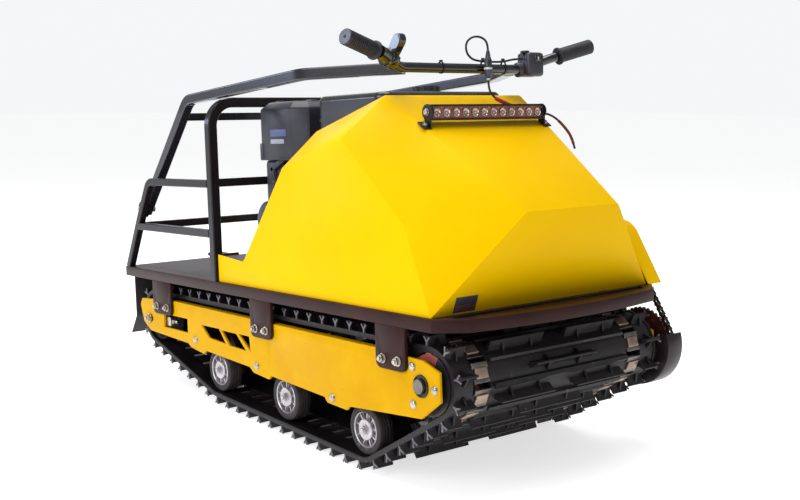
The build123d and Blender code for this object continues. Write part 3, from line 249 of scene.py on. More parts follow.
def standing(place, up=(0, 0, 1), along=(1, 0, 0)):
    # a local frame at a place: z along up, x as near to along as it can be
    z = Vector(up).normalized()
    x = (Vector(along) - z * Vector(along).dot(z)).normalized()
    return Matrix.Translation(place) @ Matrix((x, z.cross(x), z)).transposed().to_4x4()


def blanks(count):
    # empty forms, one for each finish of a piece
    return [bmesh.new() for form in range(count)]


def sewn(form, rings):
    # faces between each ring of points and the next
    for lower, upper in zip(rings, rings[1:]):
        for step in range(len(lower)):
            after = (step + 1) % len(lower)
            form.faces.new((lower[step], lower[after], upper[after], upper[step]))


def capped(form, rings):
    form.faces.new(rings[0][::-1])
    form.faces.new(rings[-1])


def circled(form, profile, stand, count):
    # a ring of points round the local z for each radius and height
    turns = [2 * pi * step / count for step in range(count)]
    return [[form.verts.new(stand @ Vector((radius * cos(t), radius * sin(t), height))) for t in turns]
            for radius, height in profile]


def lathed(form, profile, stand=Matrix(), count=32):
    # a turned part, closed at both ends
    rings = circled(form, profile, stand, count)
    sewn(form, rings)
    capped(form, rings)


def turnedRing(form, profile, stand=Matrix(), count=48):
    # a turned part whose profile closes on itself
    rings = circled(form, profile, stand, count)
    sewn(form, rings + rings[:1])


def prism(form, outline, low, high, stand=Matrix()):
    # a closed outline in local x and y, raised along z
    levels = [[form.verts.new(stand @ Vector((x, y, z))) for x, y in outline] for z in (low, high)]
    capped(form, levels)
    sewn(form, levels)


def meshOf(name, form):
    data = bpy.data.meshes.new(name)
    form.to_mesh(data)
    form.free()
    return data


def block(form, low, high, soft=0, stand=Matrix()):
    # a box between two corners, its edges rounded by soft
    part = bmesh.new()
    prism(part, [(low[0], low[1]), (high[0], low[1]), (high[0], high[1]), (low[0], high[1])], low[2], high[2])
    if soft:
        bmesh.ops.bevel(part, geom=part.edges, offset=soft, segments=3, profile=0.5, affect="EDGES")
    bmesh.ops.transform(part, matrix=stand, verts=part.verts)
    kept = meshOf("part", part)
    form.from_mesh(kept)
    bpy.data.meshes.remove(kept)


def ringed(centre, radius, count, start=0):
    # places on a circle in local x and y
    turns = [start + 2 * pi * step / count for step in range(count)]
    return [(centre[0] + radius * cos(t), centre[1] + radius * sin(t)) for t in turns]


def bothSides(near, far):
    # the ranges between two distances from the middle
    return [(-far, -near), (near, far)]


def shaped(name, form):
    bmesh.ops.remove_doubles(form, verts=form.verts, dist=edges["weld"])
    bmesh.ops.recalc_face_normals(form, faces=form.faces)
    return meshOf(name, form)


def dressed(name, data, finishName, body="root", replaced=(), slotName=None):
    # a piece that already stands on the model: smoothed, given its finish and its body
    data.shade_smooth()
    data.set_sharp_from_angle(angle=edges["smooth"])
    data.materials.clear()
    data.materials.append(paint[finishName])
    piece = bpy.data.objects.new(name, data)
    scene.collection.objects.link(piece)
    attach(piece, body)
    if replaced:
        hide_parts(*replaced)
    return piece


def settled(name, data, *details, **settings):
    # a piece made in level millimetres: set on the model first
    data.transform(levelToModel)
    return dressed(name, data, *details, **settings)


def placed(name, form, *details, **settings):
    return settled(name, shaped(name, form), *details, **settings)


# Geometry Nodes: one tree sets a shape on marked points, one along a loop
def firstOut(made):
    return next(socket for socket in made.outputs if socket.enabled)


def startTree(name, **inputs):
    tree = bpy.data.node_groups.new(name, "GeometryNodeTree")
    inputs = {"Geometry": "Geometry", "Shape": "Object", "Finish": "Material", **inputs}
    for label, kind in inputs.items():
        tree.interface.new_socket(label, in_out="INPUT", socket_type="NodeSocket" + kind)
    tree.interface.new_socket("Geometry", in_out="OUTPUT", socket_type="NodeSocketGeometry")
    return tree, tree.nodes.new("NodeGroupInput").outputs


def endTree(tree, given, points, facing, along, **more):
    # the shape on each point, its z facing out and its x along, made real and given its finish
    turn = addStep(tree, "FunctionNodeAxesToRotation", {"primary_axis": "Z", "secondary_axis": "X"},
                   Primary_Axis=facing, Secondary_Axis=along)
    shape = addStep(tree, "GeometryNodeObjectInfo", Object=given["Shape"])
    spread = addStep(tree, "GeometryNodeInstanceOnPoints", Points=points, Instance=shape.outputs["Geometry"],
                     Rotation=firstOut(turn), **more)
    solid = addStep(tree, "GeometryNodeRealizeInstances", Geometry=firstOut(spread))
    painted = addStep(tree, "GeometryNodeSetMaterial", Geometry=firstOut(solid), Material=given["Finish"])
    addStep(tree, "NodeGroupOutput", Geometry=firstOut(painted))
    return tree


def makePointTree():
    tree, given = startTree("shapeOnPoints")
    facing, along, size = (
        firstOut(addStep(tree, "GeometryNodeInputNamedAttribute", {"data_type": "FLOAT_VECTOR"}, Name=name))
        for name in ("facing", "along", "size"))
    return endTree(tree, given, given["Geometry"], facing, along, Scale=size)


def makeLoopTree():
    # of Count places on the loop, those whose number leaves Start when divided by Every
    tree, given = startTree("shapeAlongLoop", Count="Int", Every="Int", Start="Int")
    places = addStep(tree, "GeometryNodeCurveToPoints", {"mode": "COUNT"}, Curve=given["Geometry"],
                     Count=given["Count"])
    out = addStep(tree, "ShaderNodeVectorMath", {"operation": "CROSS_PRODUCT"},
                  {0: places.outputs["Tangent"], 1: (0, 1, 0)})
    number = firstOut(addStep(tree, "GeometryNodeInputIndex"))
    rest = addStep(tree, "FunctionNodeIntegerMath", {"operation": "MODULO"}, {0: number, 1: given["Every"]})
    chosen = addStep(tree, "FunctionNodeCompare", {"data_type": "INT", "operation": "EQUAL"})
    for source, socket in zip((firstOut(rest), given["Start"]), [s for s in chosen.inputs if s.enabled]):
        tree.links.new(source, socket)
    return endTree(tree, given, places.outputs["Points"], firstOut(out), places.outputs["Tangent"],
                   Selection=firstOut(chosen))


pointTree, loopTree = makePointTree(), makeLoopTree()
shapeStore = []


def evaluated(carrier):
    # the mesh that a linked object gives; the object itself goes
    bpy.context.view_layer.update()
    data = bpy.data.meshes.new_from_object(carrier.evaluated_get(bpy.context.evaluated_depsgraph_get()))
    bpy.data.objects.remove(carrier)
    return data


def grown(carrier, tree, finishName, **values):
    # run a tree on a carrier object and keep the result as a plain mesh
    scene.collection.objects.link(carrier)
    modifier = carrier.modifiers.new("grow", "NODES")
    modifier.node_group = tree
    values["Finish"] = paint[finishName]
    for item in tree.interface.items_tree:
        if item.in_out == "INPUT" and item.name in values:
            modifier[item.identifier] = values[item.name]
    return evaluated(carrier)


def shapeObject(name, form):
    shape = bpy.data.objects.new(name, shaped(name, form))
    scene.collection.objects.link(shape)
    shapeStore.append(shape)
    return shape


def onPoints(name, shape, places, finishName, *details, **settings):
    # a piece of one shape at many places: point, facing, along, size for x, y and z
    data = bpy.data.meshes.new(name)
    data.from_pydata([tuple(place[0]) for place in places], [], [])
    for column, label in enumerate(("facing", "along", "size"), 1):
        marks = data.attributes.new(label, "FLOAT_VECTOR", "POINT")
        marks.data.foreach_set("vector", [value for place in places for value in place[column]])
    data = grown(bpy.data.objects.new(name, data), pointTree, finishName, Shape=shape)
    return settled(name, data, finishName, *details, **settings)


def onLoop(name, shape, loop, finishName, count, every=1, start=0):
    # the shape at count places along a loop, or at those of them whose number leaves start
    return grown(bpy.data.objects.new(name, loop.copy()), loopTree, finishName, Shape=shape, Count=count,
                 Every=every, Start=start)


def sidePlaces(points, row, along=(1, 0, 0), size=(1, 1, 1)):
    # places of (x, z) at one distance from the middle, facing out on either side
    return [((x, hand * row, z), (0, hand, 0), along, size) for hand in (-1, 1) for x, z in points]


def merged(name, parts):
    # one mesh of several, which go
    form = bmesh.new()
    for data in parts:
        form.from_mesh(data)
        bpy.data.meshes.remove(data)
    return meshOf(name, form)


def loopLine(circles, grow, arcStep=6):
    # closed line round circles of (x, z, radius), given in the direction of travel
    ways = []
    for (x0, z0, r0), (x1, z1, r1) in zip(circles, circles[1:] + circles[:1]):
        away = Vector((x1 - x0, z1 - z0))
        ahead = away.normalized()
        lean = (r0 - r1) / away.length
        ways.append(Vector((-ahead.y, ahead.x)) * (1 - lean * lean) ** 0.5 + ahead * lean)
    points = []
    for number, (x, z, radius) in enumerate(circles):
        start, end = ways[number - 1], ways[number]
        turn = start.angle_signed(end) % (2 * pi)
        steps = max(1, round(abs(turn) / radians(arcStep)))
        for step in range(steps + 1):
            way = start.copy()
            way.rotate(Matrix.Rotation(-turn * step / steps, 2))
            points.append((x + (radius + grow) * way.x, z + (radius + grow) * way.y))
    return points


def loopCurve(name, points):
    curve = bpy.data.curves.new(name, "CURVE")
    curve.dimensions = "3D"
    spline = curve.splines.new("POLY")
    spline.points.add(len(points) - 1)
    for point, (x, z) in zip(spline.points, points):
        point.co = (x, 0, z, 1)
    spline.use_cyclic_u = True
    return curve


def band(form, inner, outer, low, high):
    # a strip between two loop lines with the same number of points, from y low to y high
    rings = [[form.verts.new((x, y, z)) for x, z in line] for line, y in
             ((inner, low), (outer, low), (outer, high), (inner, high))]
    sewn(form, rings + rings[:1])


# Bolts: washer, hexagon head and the thread's rounded end, at every place that shows one
bolt = {"washer": 10.5, "thick": 1.8, "head": 8.4, "tall": 6.4, "thread": 4.6}
boltForm = bmesh.new()
washer, thick, head = bolt["washer"], bolt["thick"], bolt["head"]
top = thick + bolt["tall"]
lathed(boltForm, [(washer - 0.4, 0), (washer, 0.4), (washer, thick - 0.4), (washer - 0.4, thick)], count=28)
prism(boltForm, ringed((0, 0), head, 6), thick, top)
lathed(boltForm, [(head * 0.84, top), (head * 0.76, top + 0.9)], count=24)
thread = [(bolt["thread"], top + 0.9), (bolt["thread"], thick + 10.5), (bolt["thread"] - 1, thick + 11.4)]
lathed(boltForm, thread, count=16)
boltShape = shapeObject("boltShape", boltForm)

domeForm = bmesh.new()
lathed(domeForm, [(10.2, 0), (10.6, 0.8), (10.2, 1.8), (9.6, 1.9), (9.3, 3.4), (7.8, 5), (5.2, 6.1), (2, 6.6)],
       count=24)
domeShape = shapeObject("domeShape", domeForm)
side = {"hanger": 330, "plate": 322}
hangerBolts = [(194, 333), (255, 333), (724, 333), (771, 333), (1229, 333), (1279, 333)]
plateBolts = [(400, 262), (711, 238), (1031, 214), (1316, 327), (1384, 289), (1317, 250)]
idler = {"place": (127, 291), "radius": 65.8, "half": 22, "rows": (269, 108), "boltSize": (1.25, 1.25, 1.1)}
boltPlaces = sidePlaces([idler["place"]], side["plate"] + 1, size=idler["boltSize"])
for x, z in hangerBolts:
    boltPlaces += sidePlaces([(x, z)], side["hanger"], (cos(x), 0, sin(x)))
onPoints("sideBolts", boltShape, boltPlaces, "zinc")
onPoints("domedBolts", domeShape, sidePlaces(plateBolts, side["plate"], size=(0.92, 0.92, 0.92)), "zinc")
print("bolts set")

# Chain: roller and two plates for each link, inner and outer plates in turn
chain = {"y": 350, "lower": (1342, 291, 86.3), "upper": (1266, 514, 36.3), "roller": 4.4, "plate": 5.6,
         "pitch": 12.7}
chainLoop = loopCurve("chainLoop", loopLine([chain["upper"], chain["lower"]], 0))
chainLength = chainLoop.splines[0].calc_length()
chainCount = 2 * round(chainLength / chain["pitch"] / 2)


def linkForm(half, low, high):
    form = bmesh.new()
    waist = chain["plate"] * 0.62
    outline = ringed((half, 0), chain["plate"], 5, -pi / 2.6)[:4] + [(0, waist)]
    outline += ringed((-half, 0), chain["plate"], 5, pi / 1.6)[:4] + [(0, -waist)]
    for hand in (-1, 1):
        stand = standing((0, hand * (low + high) / 2, 0), (0, 1, 0))
        prism(form, outline, -(high - low) / 2, (high - low) / 2, stand)
        for end in (-half, half):
            lathed(form, [(2.2, 0), (2.2, high + 1.2 - low)], standing((end, hand * low, 0), (0, hand, 0)), 10)
    for end in (-half, half):
        lathed(form, [(chain["roller"], -low), (chain["roller"], low)], standing((end, 0, 0), (0, 1, 0)), 12)
    return form


linkStep = chainLength / chainCount
innerLink = shapeObject("innerLink", linkForm(linkStep / 2, 3.9, 5.2))
outerLink = shapeObject("outerLink", linkForm(linkStep / 2, 5.3, 6.6))
chainParts = [onLoop("links", shape, chainLoop, "chain", chainCount, 2, start)
              for shape, start in ((innerLink, 0), (outerLink, 1))]
chainData = merged("rollerChain", chainParts)
chainData.transform(Matrix.Translation((0, chain["y"], 0)))
settled("rollerChain", chainData, "chain", replaced=["drive_chain"])
print("chain laid,", chainCount, "links")

# Belt: strips with drive windows between them, beaded edges, lugs with buttresses and webs, steel clips
belt = {"half": 300, "thick": 9, "windowIn": 205, "windowOut": 250, "tall": 22, "foot": 15, "tip": 5,
        "edge": 253, "bead": 296, "pitch": 52.4, "web": 299.2}
beltCircles = [(127, 291, 66.3), (1342, 291, 66.3), (1103, 150, 58.3), (461, 185, 58.3)]
beltInner, beltOuter = (loopLine(beltCircles, grow) for grow in (0, belt["thick"]))
beltLoop = loopCurve("beltLoop", beltOuter)
rowCount = 2 * round(beltLoop.splines[0].calc_length() / belt["pitch"] / 2)
stripForm = bmesh.new()
crown = loopLine(beltCircles, belt["thick"] - 1.6)
for low, high in ((-belt["windowIn"], belt["windowIn"]), (belt["windowOut"], belt["half"]),
                  (-belt["half"], -belt["windowOut"])):
    band(stripForm, beltInner, beltOuter, low + 1.2, high - 1.2)
    band(stripForm, beltInner, crown, low, high)
beadForm = bmesh.new()
for low, high in bothSides(belt["bead"], belt["half"] + 0.9):
    band(beadForm, loopLine(beltCircles, 2.5), loopLine(beltCircles, belt["thick"] + 2.2), low, high)
bridgeForm = bmesh.new()
for low, high in bothSides(belt["windowIn"], belt["windowOut"]):
    block(bridgeForm, (-17, low - 3, -belt["thick"] + 0.4), (9, high + 3, -0.4), 1)
bridgeShape = shapeObject("bridge", bridgeForm)


def lugForm(pieces, ribs):
    # a blade across the belt, thinner at its tip, with small buttresses down both faces
    form = bmesh.new()
    for low, high in pieces:
        slope = [(belt["foot"] / 2, 1), (belt["tip"] / 2 + 2, -5), (belt["tip"] / 2, 1 - belt["tall"]),
                 (belt["tip"] / 2 - 1, -belt["tall"])]
        stand = standing((0, (low + high) / 2, 0), (0, 1, 0))
        prism(form, [(-x, z) for x, z in slope] + slope[::-1], -(high - low) / 2, (high - low) / 2, stand)
    deep = -belt["tall"] * 0.8
    for y in ribs:
        stand = standing((0, y, 0), (0, 1, 0))
        prism(form, [(-17, 0.5), (17, 0.5), (2, deep), (-2, deep)], -2.2, 2.2, stand)
    return form


edgeLugs = bothSides(belt["edge"], belt["half"] - 1.5)
wideLugs = edgeLugs + bothSides(34, 186)
wideRow = shapeObject("wideRow", lugForm(wideLugs, (-276, -150, -70, 70, 150, 276)))
centreRow = shapeObject("centreRow", lugForm(edgeLugs + [(-92, 92)], (-276, -46, 46, 276)))
lowBar = bmesh.new()
prism(lowBar, [(-7, 0.5), (7, 0.5), (4, -5), (-4, -5)], -199, 199, standing((26, 0, 0), (0, 1, 0)))
lowBarShape = shapeObject("lowBar", lowBar)
beltParts = [shaped("strips", stripForm), shaped("bead", beadForm)]
beltParts += [onLoop("rows", shape, beltLoop, "belt", rowCount, 2, start)
              for shape, start in ((wideRow, 0), (centreRow, 1))]
beltParts += [onLoop("bars", shape, beltLoop, "belt", rowCount) for shape in (bridgeShape, lowBarShape)]
settled("beltWithLugs", merged("beltWithLugs", beltParts), "belt", replaced=["track_belt"])

clipForm, flangeForm, webForm = blanks(3)
webLine = [(-2, 0.5), (2, 0.5), (2, -9), (9.5, -19.6), (7, -21.6), (0, -13.5), (-7, -21.6), (-9.5, -19.6),
           (-2, -9)]
for hand in (-1, 1):
    middle = hand * (belt["windowIn"] + belt["windowOut"]) / 2
    block(clipForm, (-15, middle - 16, -0.5), (7, middle + 16, 4.5), 1.6)
    for low, high in ((-26, -14), (6, 16)):
        block(flangeForm, (low, middle - 21, -6.5), (high, middle + 21, 1.2), 1)
    prism(webForm, webLine, -1.3, 1.3, standing((0, hand * belt["web"], 0), (0, 1, 0)))
# the Y webs on the belt's edges take the lighter purple-grey finish: wear, and a painted highlight on the lug
# edges
for name, form, finishName in (("lugWebs", webForm, "web"), ("beltClips", clipForm, "clip"),
                               ("clipFlanges", flangeForm, "steel")):
    rows = onLoop(name, shapeObject(name + "Shape", form), beltLoop, finishName, rowCount)
    settled(name, rows, finishName)
print("belt made,", rowCount, "rows")

# Solids whose shape is right: copies with their sharp edges rounded
roundedEdges = {
    "foldedHood": ("hood", 1.3), "chainCover": ("chain_cover", 1.1), "portPlate": ("side_plate_port", 0.8),
    "deckSheet": ("deck", 0.8), "starboardPlate": ("side_plate_starboard", 0.8), "weldedFrame": ("frame", 1.9),
    "hangerPlates": ("hangers", 1.2), "guardStrip": ("chain_guard", 1), "engineBed": ("engine_bed", 1.2),
    "hitchJaws": ("tow_hitch", 1.4), "flapSheet": ("mud_flap", 1), "bearingBlocks": ("jackshaft_blocks", 2),
    "tankShelf": ("tank_bracket", 0.7), "wheelArms": ("wheel_carriers", 1.4),
    "engineCase": ("engine_block", 1.6), "filterBox": ("air_filter_box", 3), "lampShell": ("lamp_housing", 0.8),
}


def softened(name, source, width):
    form = bmesh.new()
    form.from_mesh(nodes[source].data)
    bmesh.ops.remove_doubles(form, verts=form.verts, dist=edges["weldModel"])
    bmesh.ops.dissolve_limit(form, angle_limit=edges["flat"], verts=form.verts, edges=form.edges)
    sharp = [edge for edge in form.edges
             if len(edge.link_faces) == 2 and edge.calc_face_angle(0) > edges["sharp"]]
    bmesh.ops.bevel(form, geom=sharp, offset=width / 1000, segments=2, profile=0.5, affect="EDGES",
                    clamp_overlap=True)
    bmesh.ops.triangulate(form, faces=[face for face in form.faces if len(face.verts) > 4])
    return dressed(name, meshOf(name, form), nodeFinish[source], replaced=[source])


for name, (source, width) in roundedEdges.items():
    softened(name, source, width)
print("edges rounded on", len(roundedEdges), "solids")

# Road wheels: solid tyres with a worn tread, cast rims with spokes and a hub
wheel = {"places": [(461, 185), (782, 167.5), (1103, 150)], "rows": (270, 108), "half": 20, "rim": 41,
         "spokes": 9}
tyreForm, rimForm = blanks(2)
tread = [(41, -17), (44, -19.4), (51, -20), (55.4, -17.5), (57.3, -13), (57.9, -8), (57.9, -5.4), (56.7, -4.6),
         (56.7, -3.4), (57.9, -2.6)]
turnedRing(tyreForm, tread + [(radius, -height) for radius, height in tread[::-1]])


def castForm(form, outer, thick, hub, half, spokes, wide):
    # rim with lips, spokes that narrow outwards, and a hub
    lip = [(outer, -half * 0.88), (outer - 1.6, -half * 0.97), (outer - 3.4, -half * 0.88),
           (outer - thick, -half * 0.5)]
    turnedRing(form, lip + [(radius, -height) for radius, height in lip[::-1]])
    for step in range(spokes):
        turn = Matrix.Rotation(2 * pi * step / spokes, 4, "Z")
        for root, tip, low, high in ((wide * 0.6, wide * 0.42, -0.3, 0.45), (1.6, 1.6, 0.4, 0.68)):
            spoke = [(hub - 2, -root), (outer - thick + 1, -tip), (outer - thick + 1, tip), (hub - 2, root)]
            prism(form, spoke, half * low, half * high, turn)
    turnedRing(form, [(hub, -half * 0.9), (hub, half * 0.86), (hub - 1.5, half * 0.96), (10.4, half * 0.96),
                      (10.4, -half * 0.96), (hub - 1.5, -half * 0.96)], count=32)


castForm(rimForm, wheel["rim"], 4, 24, wheel["half"], wheel["spokes"], 8)
lathed(rimForm, [(12.5, 18.6), (13, 19.4), (12.6, 20.4)], count=28)
prism(rimForm, ringed((0, 0), 9.6, 6), 20.2, 25.8)
lathed(rimForm, [(5.4, 25.8), (5.4, 28.6), (4.4, 29.4)], count=16)
tyreShape, rimShape = shapeObject("tyreShape", tyreForm), shapeObject("rimShape", rimForm)
wheelPlaces = []
for number, place in enumerate(wheel["places"]):
    for row in wheel["rows"]:
        turn = 0.5 + 1.3 * number + row
        wheelPlaces += sidePlaces([place], row, (cos(turn), 0, sin(turn)))
onPoints("solidTyres", tyreShape, wheelPlaces, "tyre", replaced=["road_tyres"])
onPoints("castWheels", rimShape, wheelPlaces, "alloy", replaced=["road_wheels"])
idlerForm = bmesh.new()
castForm(idlerForm, idler["radius"], 9, 22, idler["half"], 8, 9)
idlerShape = shapeObject("idlerShape", idlerForm)
idlerPlaces = [place for row in idler["rows"] for place in sidePlaces([idler["place"]], row, (1, 0, 0.3))]
onPoints("idlerDrums", idlerShape, idlerPlaces, "tyre", replaced=["idler_wheels"])
print("wheels turned")

# Toothed drive discs inside the belt, spacers beside them, and a black half-disc sheet over the outer discs as
# painted shade
drum = {"x": 1342, "z": 291, "row": 228, "thick": 10, "reach": 65, "teeth": 8, "hub": 26, "outer": 299.6,
        "shadeSheetStart": radians(-118),
        "tooth": ((0, 0.80), (0.22, 0.78), (0.34, 0.88), (0.46, 0.99), (0.62, 1), (0.78, 0.99), (0.90, 0.88))}
drumForm, spacerAndShadeForm = blanks(2)


def lobedLine(count, reach, lobe):
    # a closed outline of equal lobes: shares of a lobe's turn, and of the reach
    turns = [(2 * pi * (number + share) / count, reach * radius) for number in range(count)
             for share, radius in lobe]
    return [(radius * cos(turn), radius * sin(turn)) for turn, radius in turns]


toothLine = lobedLine(drum["teeth"], drum["reach"], drum["tooth"])
for hand in (-1, 1):
    stand = standing((drum["x"], hand * drum["row"], drum["z"]), (0, hand, 0))
    prism(drumForm, toothLine, -drum["thick"] / 2, drum["thick"] / 2, stand)
    turnedRing(drumForm, [(46, 4), (46, 8), (44, 9), (30, 9), (28, 8), (28, 4)], stand)
    lathed(drumForm, [(drum["hub"], -22), (drum["hub"], 20), (drum["hub"] - 1.5, 21.5)], stand, 32)
    for x, y in ringed((0, 0), 37, 6):
        prism(drumForm, ringed((x, y), 6, 6), 8.5, 13.5, stand)
    beside = standing((drum["x"], hand * drum["outer"], drum["z"]), (0, hand, 0))
    lathed(drumForm, [(61, -2.3), (61, -1)], beside, 48)
    prism(drumForm, toothLine, -2.5, -0.8, beside @ Matrix.Rotation(0.35, 4, "Z") @ Matrix.Scale(0.985, 4))
    lathed(spacerAndShadeForm, [(56, -44), (57, -43), (57, -10), (56, -9)], stand, 48)
    lathed(spacerAndShadeForm, [(56, 15), (57, 16), (57, 62), (56, 63)], stand, 48)
    lathed(spacerAndShadeForm, [(31, 0.6), (32, 1), (32, 3.6), (31, 4.4), (20, 4.8)], beside, 40)
    lathed(spacerAndShadeForm, [(65, -7), (65.7, -6.4), (65.7, -3.8), (65, -3.2)], beside, 64)
    low, high = sorted((hand * 292.6, hand * 296.4))
    block(spacerAndShadeForm, (1205, low, 334), (1345, high, 357), 0.6)
    # a black half-disc sheet over part of the outer toothed disc: painted shade where that disc lies in shadow
    sector = ringed((0, 0), 65.4, 60, drum["shadeSheetStart"])[:31]
    sector += ringed((0, 0), 25, 12, drum["shadeSheetStart"])[6::-1]
    shadeSheetStand = standing((drum["x"], hand * drum["outer"], drum["z"]), (0, -1, 0))
    prism(spacerAndShadeForm, sector, -3.2, 3.2, shadeSheetStand)
placed("driveDiscs", drumForm, "primer", replaced=["drive_sprockets"])
placed("drumSpacers", spacerAndShadeForm, "black")

# Sheet that closes the bumper's bow in front of the deck
bow = {"rear": 1385, "corner": 1412, "side": 272, "middle": 1438.5, "low": 424, "high": 426.5}
bowForm = bmesh.new()
bowLine = [(bow["rear"], -bow["side"] - 14)]
for step in range(17):
    y = bow["side"] * (step / 8 - 1)
    bowLine.append((bow["corner"] + (bow["middle"] - bow["corner"]) * (1 - (y / bow["side"]) ** 2), y))
prism(bowForm, bowLine + [(bow["rear"], bow["side"] + 14)], bow["low"], bow["high"])
placed("bowSheet", bowForm, "tube")

# Drive bearings in the side plates, and the belt tensioners' bolts
bearingForm, raceForm = blanks(2)
for hand in (-1, 1):
    stand = standing((drum["x"], hand * (side["plate"] - 12), drum["z"]), (0, hand, 0))
    turnedRing(bearingForm, [(50, 1), (50, 5.6), (49, 6.2), (23, 6.2), (22.8, 14.5), (21.8, 15.6), (20.4, 15.6),
                             (19.8, 12.4), (16.5, 12.4), (16.2, 16.8), (15.3, 16.8), (15.3, 1)], stand)
    lathed(raceForm, [(14.9, 10), (14.9, 16), (14, 17.2), (5, 17.2), (4, 15.5), (1, 14.4)], stand, 32)
    block(raceForm, (11.6, -2.6, 13), (16.1, 2.6, 16.9), 0.4, stand)
placed("plateBearings", bearingForm, "black", replaced=["shaft_bearings"])
placed("shaftEnds", raceForm, "exhaust")

tension = {"start": 136, "end": 262.5, "block": 229, "z": 291, "row": 303, "rod": 5.6, "pitch": 3.4}
tensionForm = bmesh.new()
for hand in (-1, 1):
    stand = standing((tension["start"], hand * tension["row"], tension["z"]), (1, 0, 0), (0, 0, 1))
    long, nut = tension["end"] - tension["start"], tension["block"] - tension["start"]
    thread = [(tension["rod"], 0)]
    for turn in range(int(long / tension["pitch"])):
        low = tension["pitch"] * turn
        thread += [(tension["rod"] - 0.7, low + tension["pitch"] / 2), (tension["rod"], low + tension["pitch"])]
    lathed(tensionForm, thread + [(tension["rod"] - 1.2, long + 1)], stand, 16)
    block(tensionForm, (tension["block"] - 11, hand * tension["row"] - 13, tension["z"] - 13),
          (tension["block"] + 14, hand * tension["row"] + 13, tension["z"] + 13), 2)
    prism(tensionForm, ringed((0, 0), 10.4, 6), nut + 14.6, nut + 23.5, stand)
    prism(tensionForm, ringed((0, 0), 9.6, 6, 0.4), 1.5, 9, stand)
placed("tensionBolts", tensionForm, "zinc", replaced=["belt_tensioners"])
print("bearings and tensioners made")

# Hood fittings: a blank plate at the lower corner, small tabs at the lower edge
hoodFront = {"facing": (198.7, 0, -79), "plate": (1385, -238.5, 450.3), "size": (58, 35),
             "tabs": (-172, 174)}
labelForm, labelFace, tabForm = blanks(3)
stand = standing(hoodFront["plate"], hoodFront["facing"], (0, 1, 0))
wide, tall = hoodFront["size"]
block(labelForm, (-wide / 2, -tall / 2, -0.4), (wide / 2, tall / 2, 0.9), 0.35, stand)
block(labelFace, (-wide / 2 + 2.5, -tall / 2 + 2.5, 0.5), (wide / 2 - 2.5, -1, 1.2), 0.2, stand)
placed("blankPlate", labelForm, "bare")
placed("blankPlateFace", labelFace, "plateBrown")
for y in hoodFront["tabs"]:
    block(tabForm, (1362, y - 13, 429), (1377.5, y + 13, 432.5), 0.8)
placed("hoodTabs", tabForm, "rust")

# Light bar: rounded ears with their bolts, twelve reflector cups, a clear front
lampBar = {"z": 832, "half": 168, "inner": 164, "cells": 12, "cup": 9.8, "cupBack": 1205.2,
           "facet": (0.5622, 0, 0.827), "slope": (0.827, 0, -0.5622)}
earForm, earBolts, cupForm, cupBack, lensForm = blanks(5)
level, half, inner, back = (lampBar[key] for key in ("z", "half", "inner", "cupBack"))
for hand in (-1, 1):
    stand = standing((1199, hand * (half + 1.9), level + 1), (0, hand, 0))
    lathed(earForm, [(16.2, -1.5), (17, -0.8), (17, 0.8), (16.2, 1.5)], stand, 32)
    footOutline = [(1187.5, level), (1211, level - 2), (1209.5, 797.5), (1191, 810)]
    prism(earForm, footOutline, -1.4, 1.4, standing((0, hand * (half + 1.9), 0), (0, -1, 0)))
    footStand = standing((1200, hand * (half + 11.5), 804.2), lampBar["facet"], lampBar["slope"])
    block(earForm, (-13, -11.5, -0.6), (13, 11.5, 2.6), 1, footStand)
    lathed(earBolts, [(7.6, 1.4), (7.6, 2.6), (6.2, 2.8), (6.2, 6.4), (5.2, 7.6)], stand, 24)
    lathed(earBolts, [(6.6, 2.6), (6.6, 3.8), (4.8, 4), (4.6, 7), (3.6, 8)], footStand, 20)
    low, high = sorted((hand * (half - 5), hand * (half + 0.4)))
    block(earForm, (1187, low, level - 16.6), (1210.6, high, level + 16.6), 1.2)
pitch = 2 * inner / lampBar["cells"]
block(cupBack, (1204.4, -inner, level - 13), (1205.6, inner, level + 13), 0.3)
for number in range(lampBar["cells"]):
    y = -inner + pitch * (number + 0.5)
    stand = standing((back, y, level), (1, 0, 0), (0, 1, 0))
    cup = lampBar["cup"]
    lathed(cupForm, [(cup, 0), (cup, 3), (cup - 1.2, 3.2), (7.4, 1.6), (4.4, 0.9), (3, 0.9), (2.6, 2),
                     (1.6, 2.4)], stand, 28)
    stand = standing((back, y + pitch / 2, level + 9.6), (1, 0, 0), (0, 1, 0))
    lathed(cupForm, [(1.5, 0), (1.5, 1.4), (0.9, 1.9)], stand, 12)
block(lensForm, (1208.5, -inner + 0.2, level - 12.8), (1209.7, inner - 0.2, level + 12.8), 0.4)
placed("lampEars", earForm, "lamp", replaced=["lamp_feet"])
placed("lampBolts", earBolts, "zinc")
placed("reflectorCups", cupForm, "reflector", replaced=["lamp_glass"])
placed("cupPanel", cupBack, "amber")
placed("lampLens", lensForm, "lens")
print("light bar made")

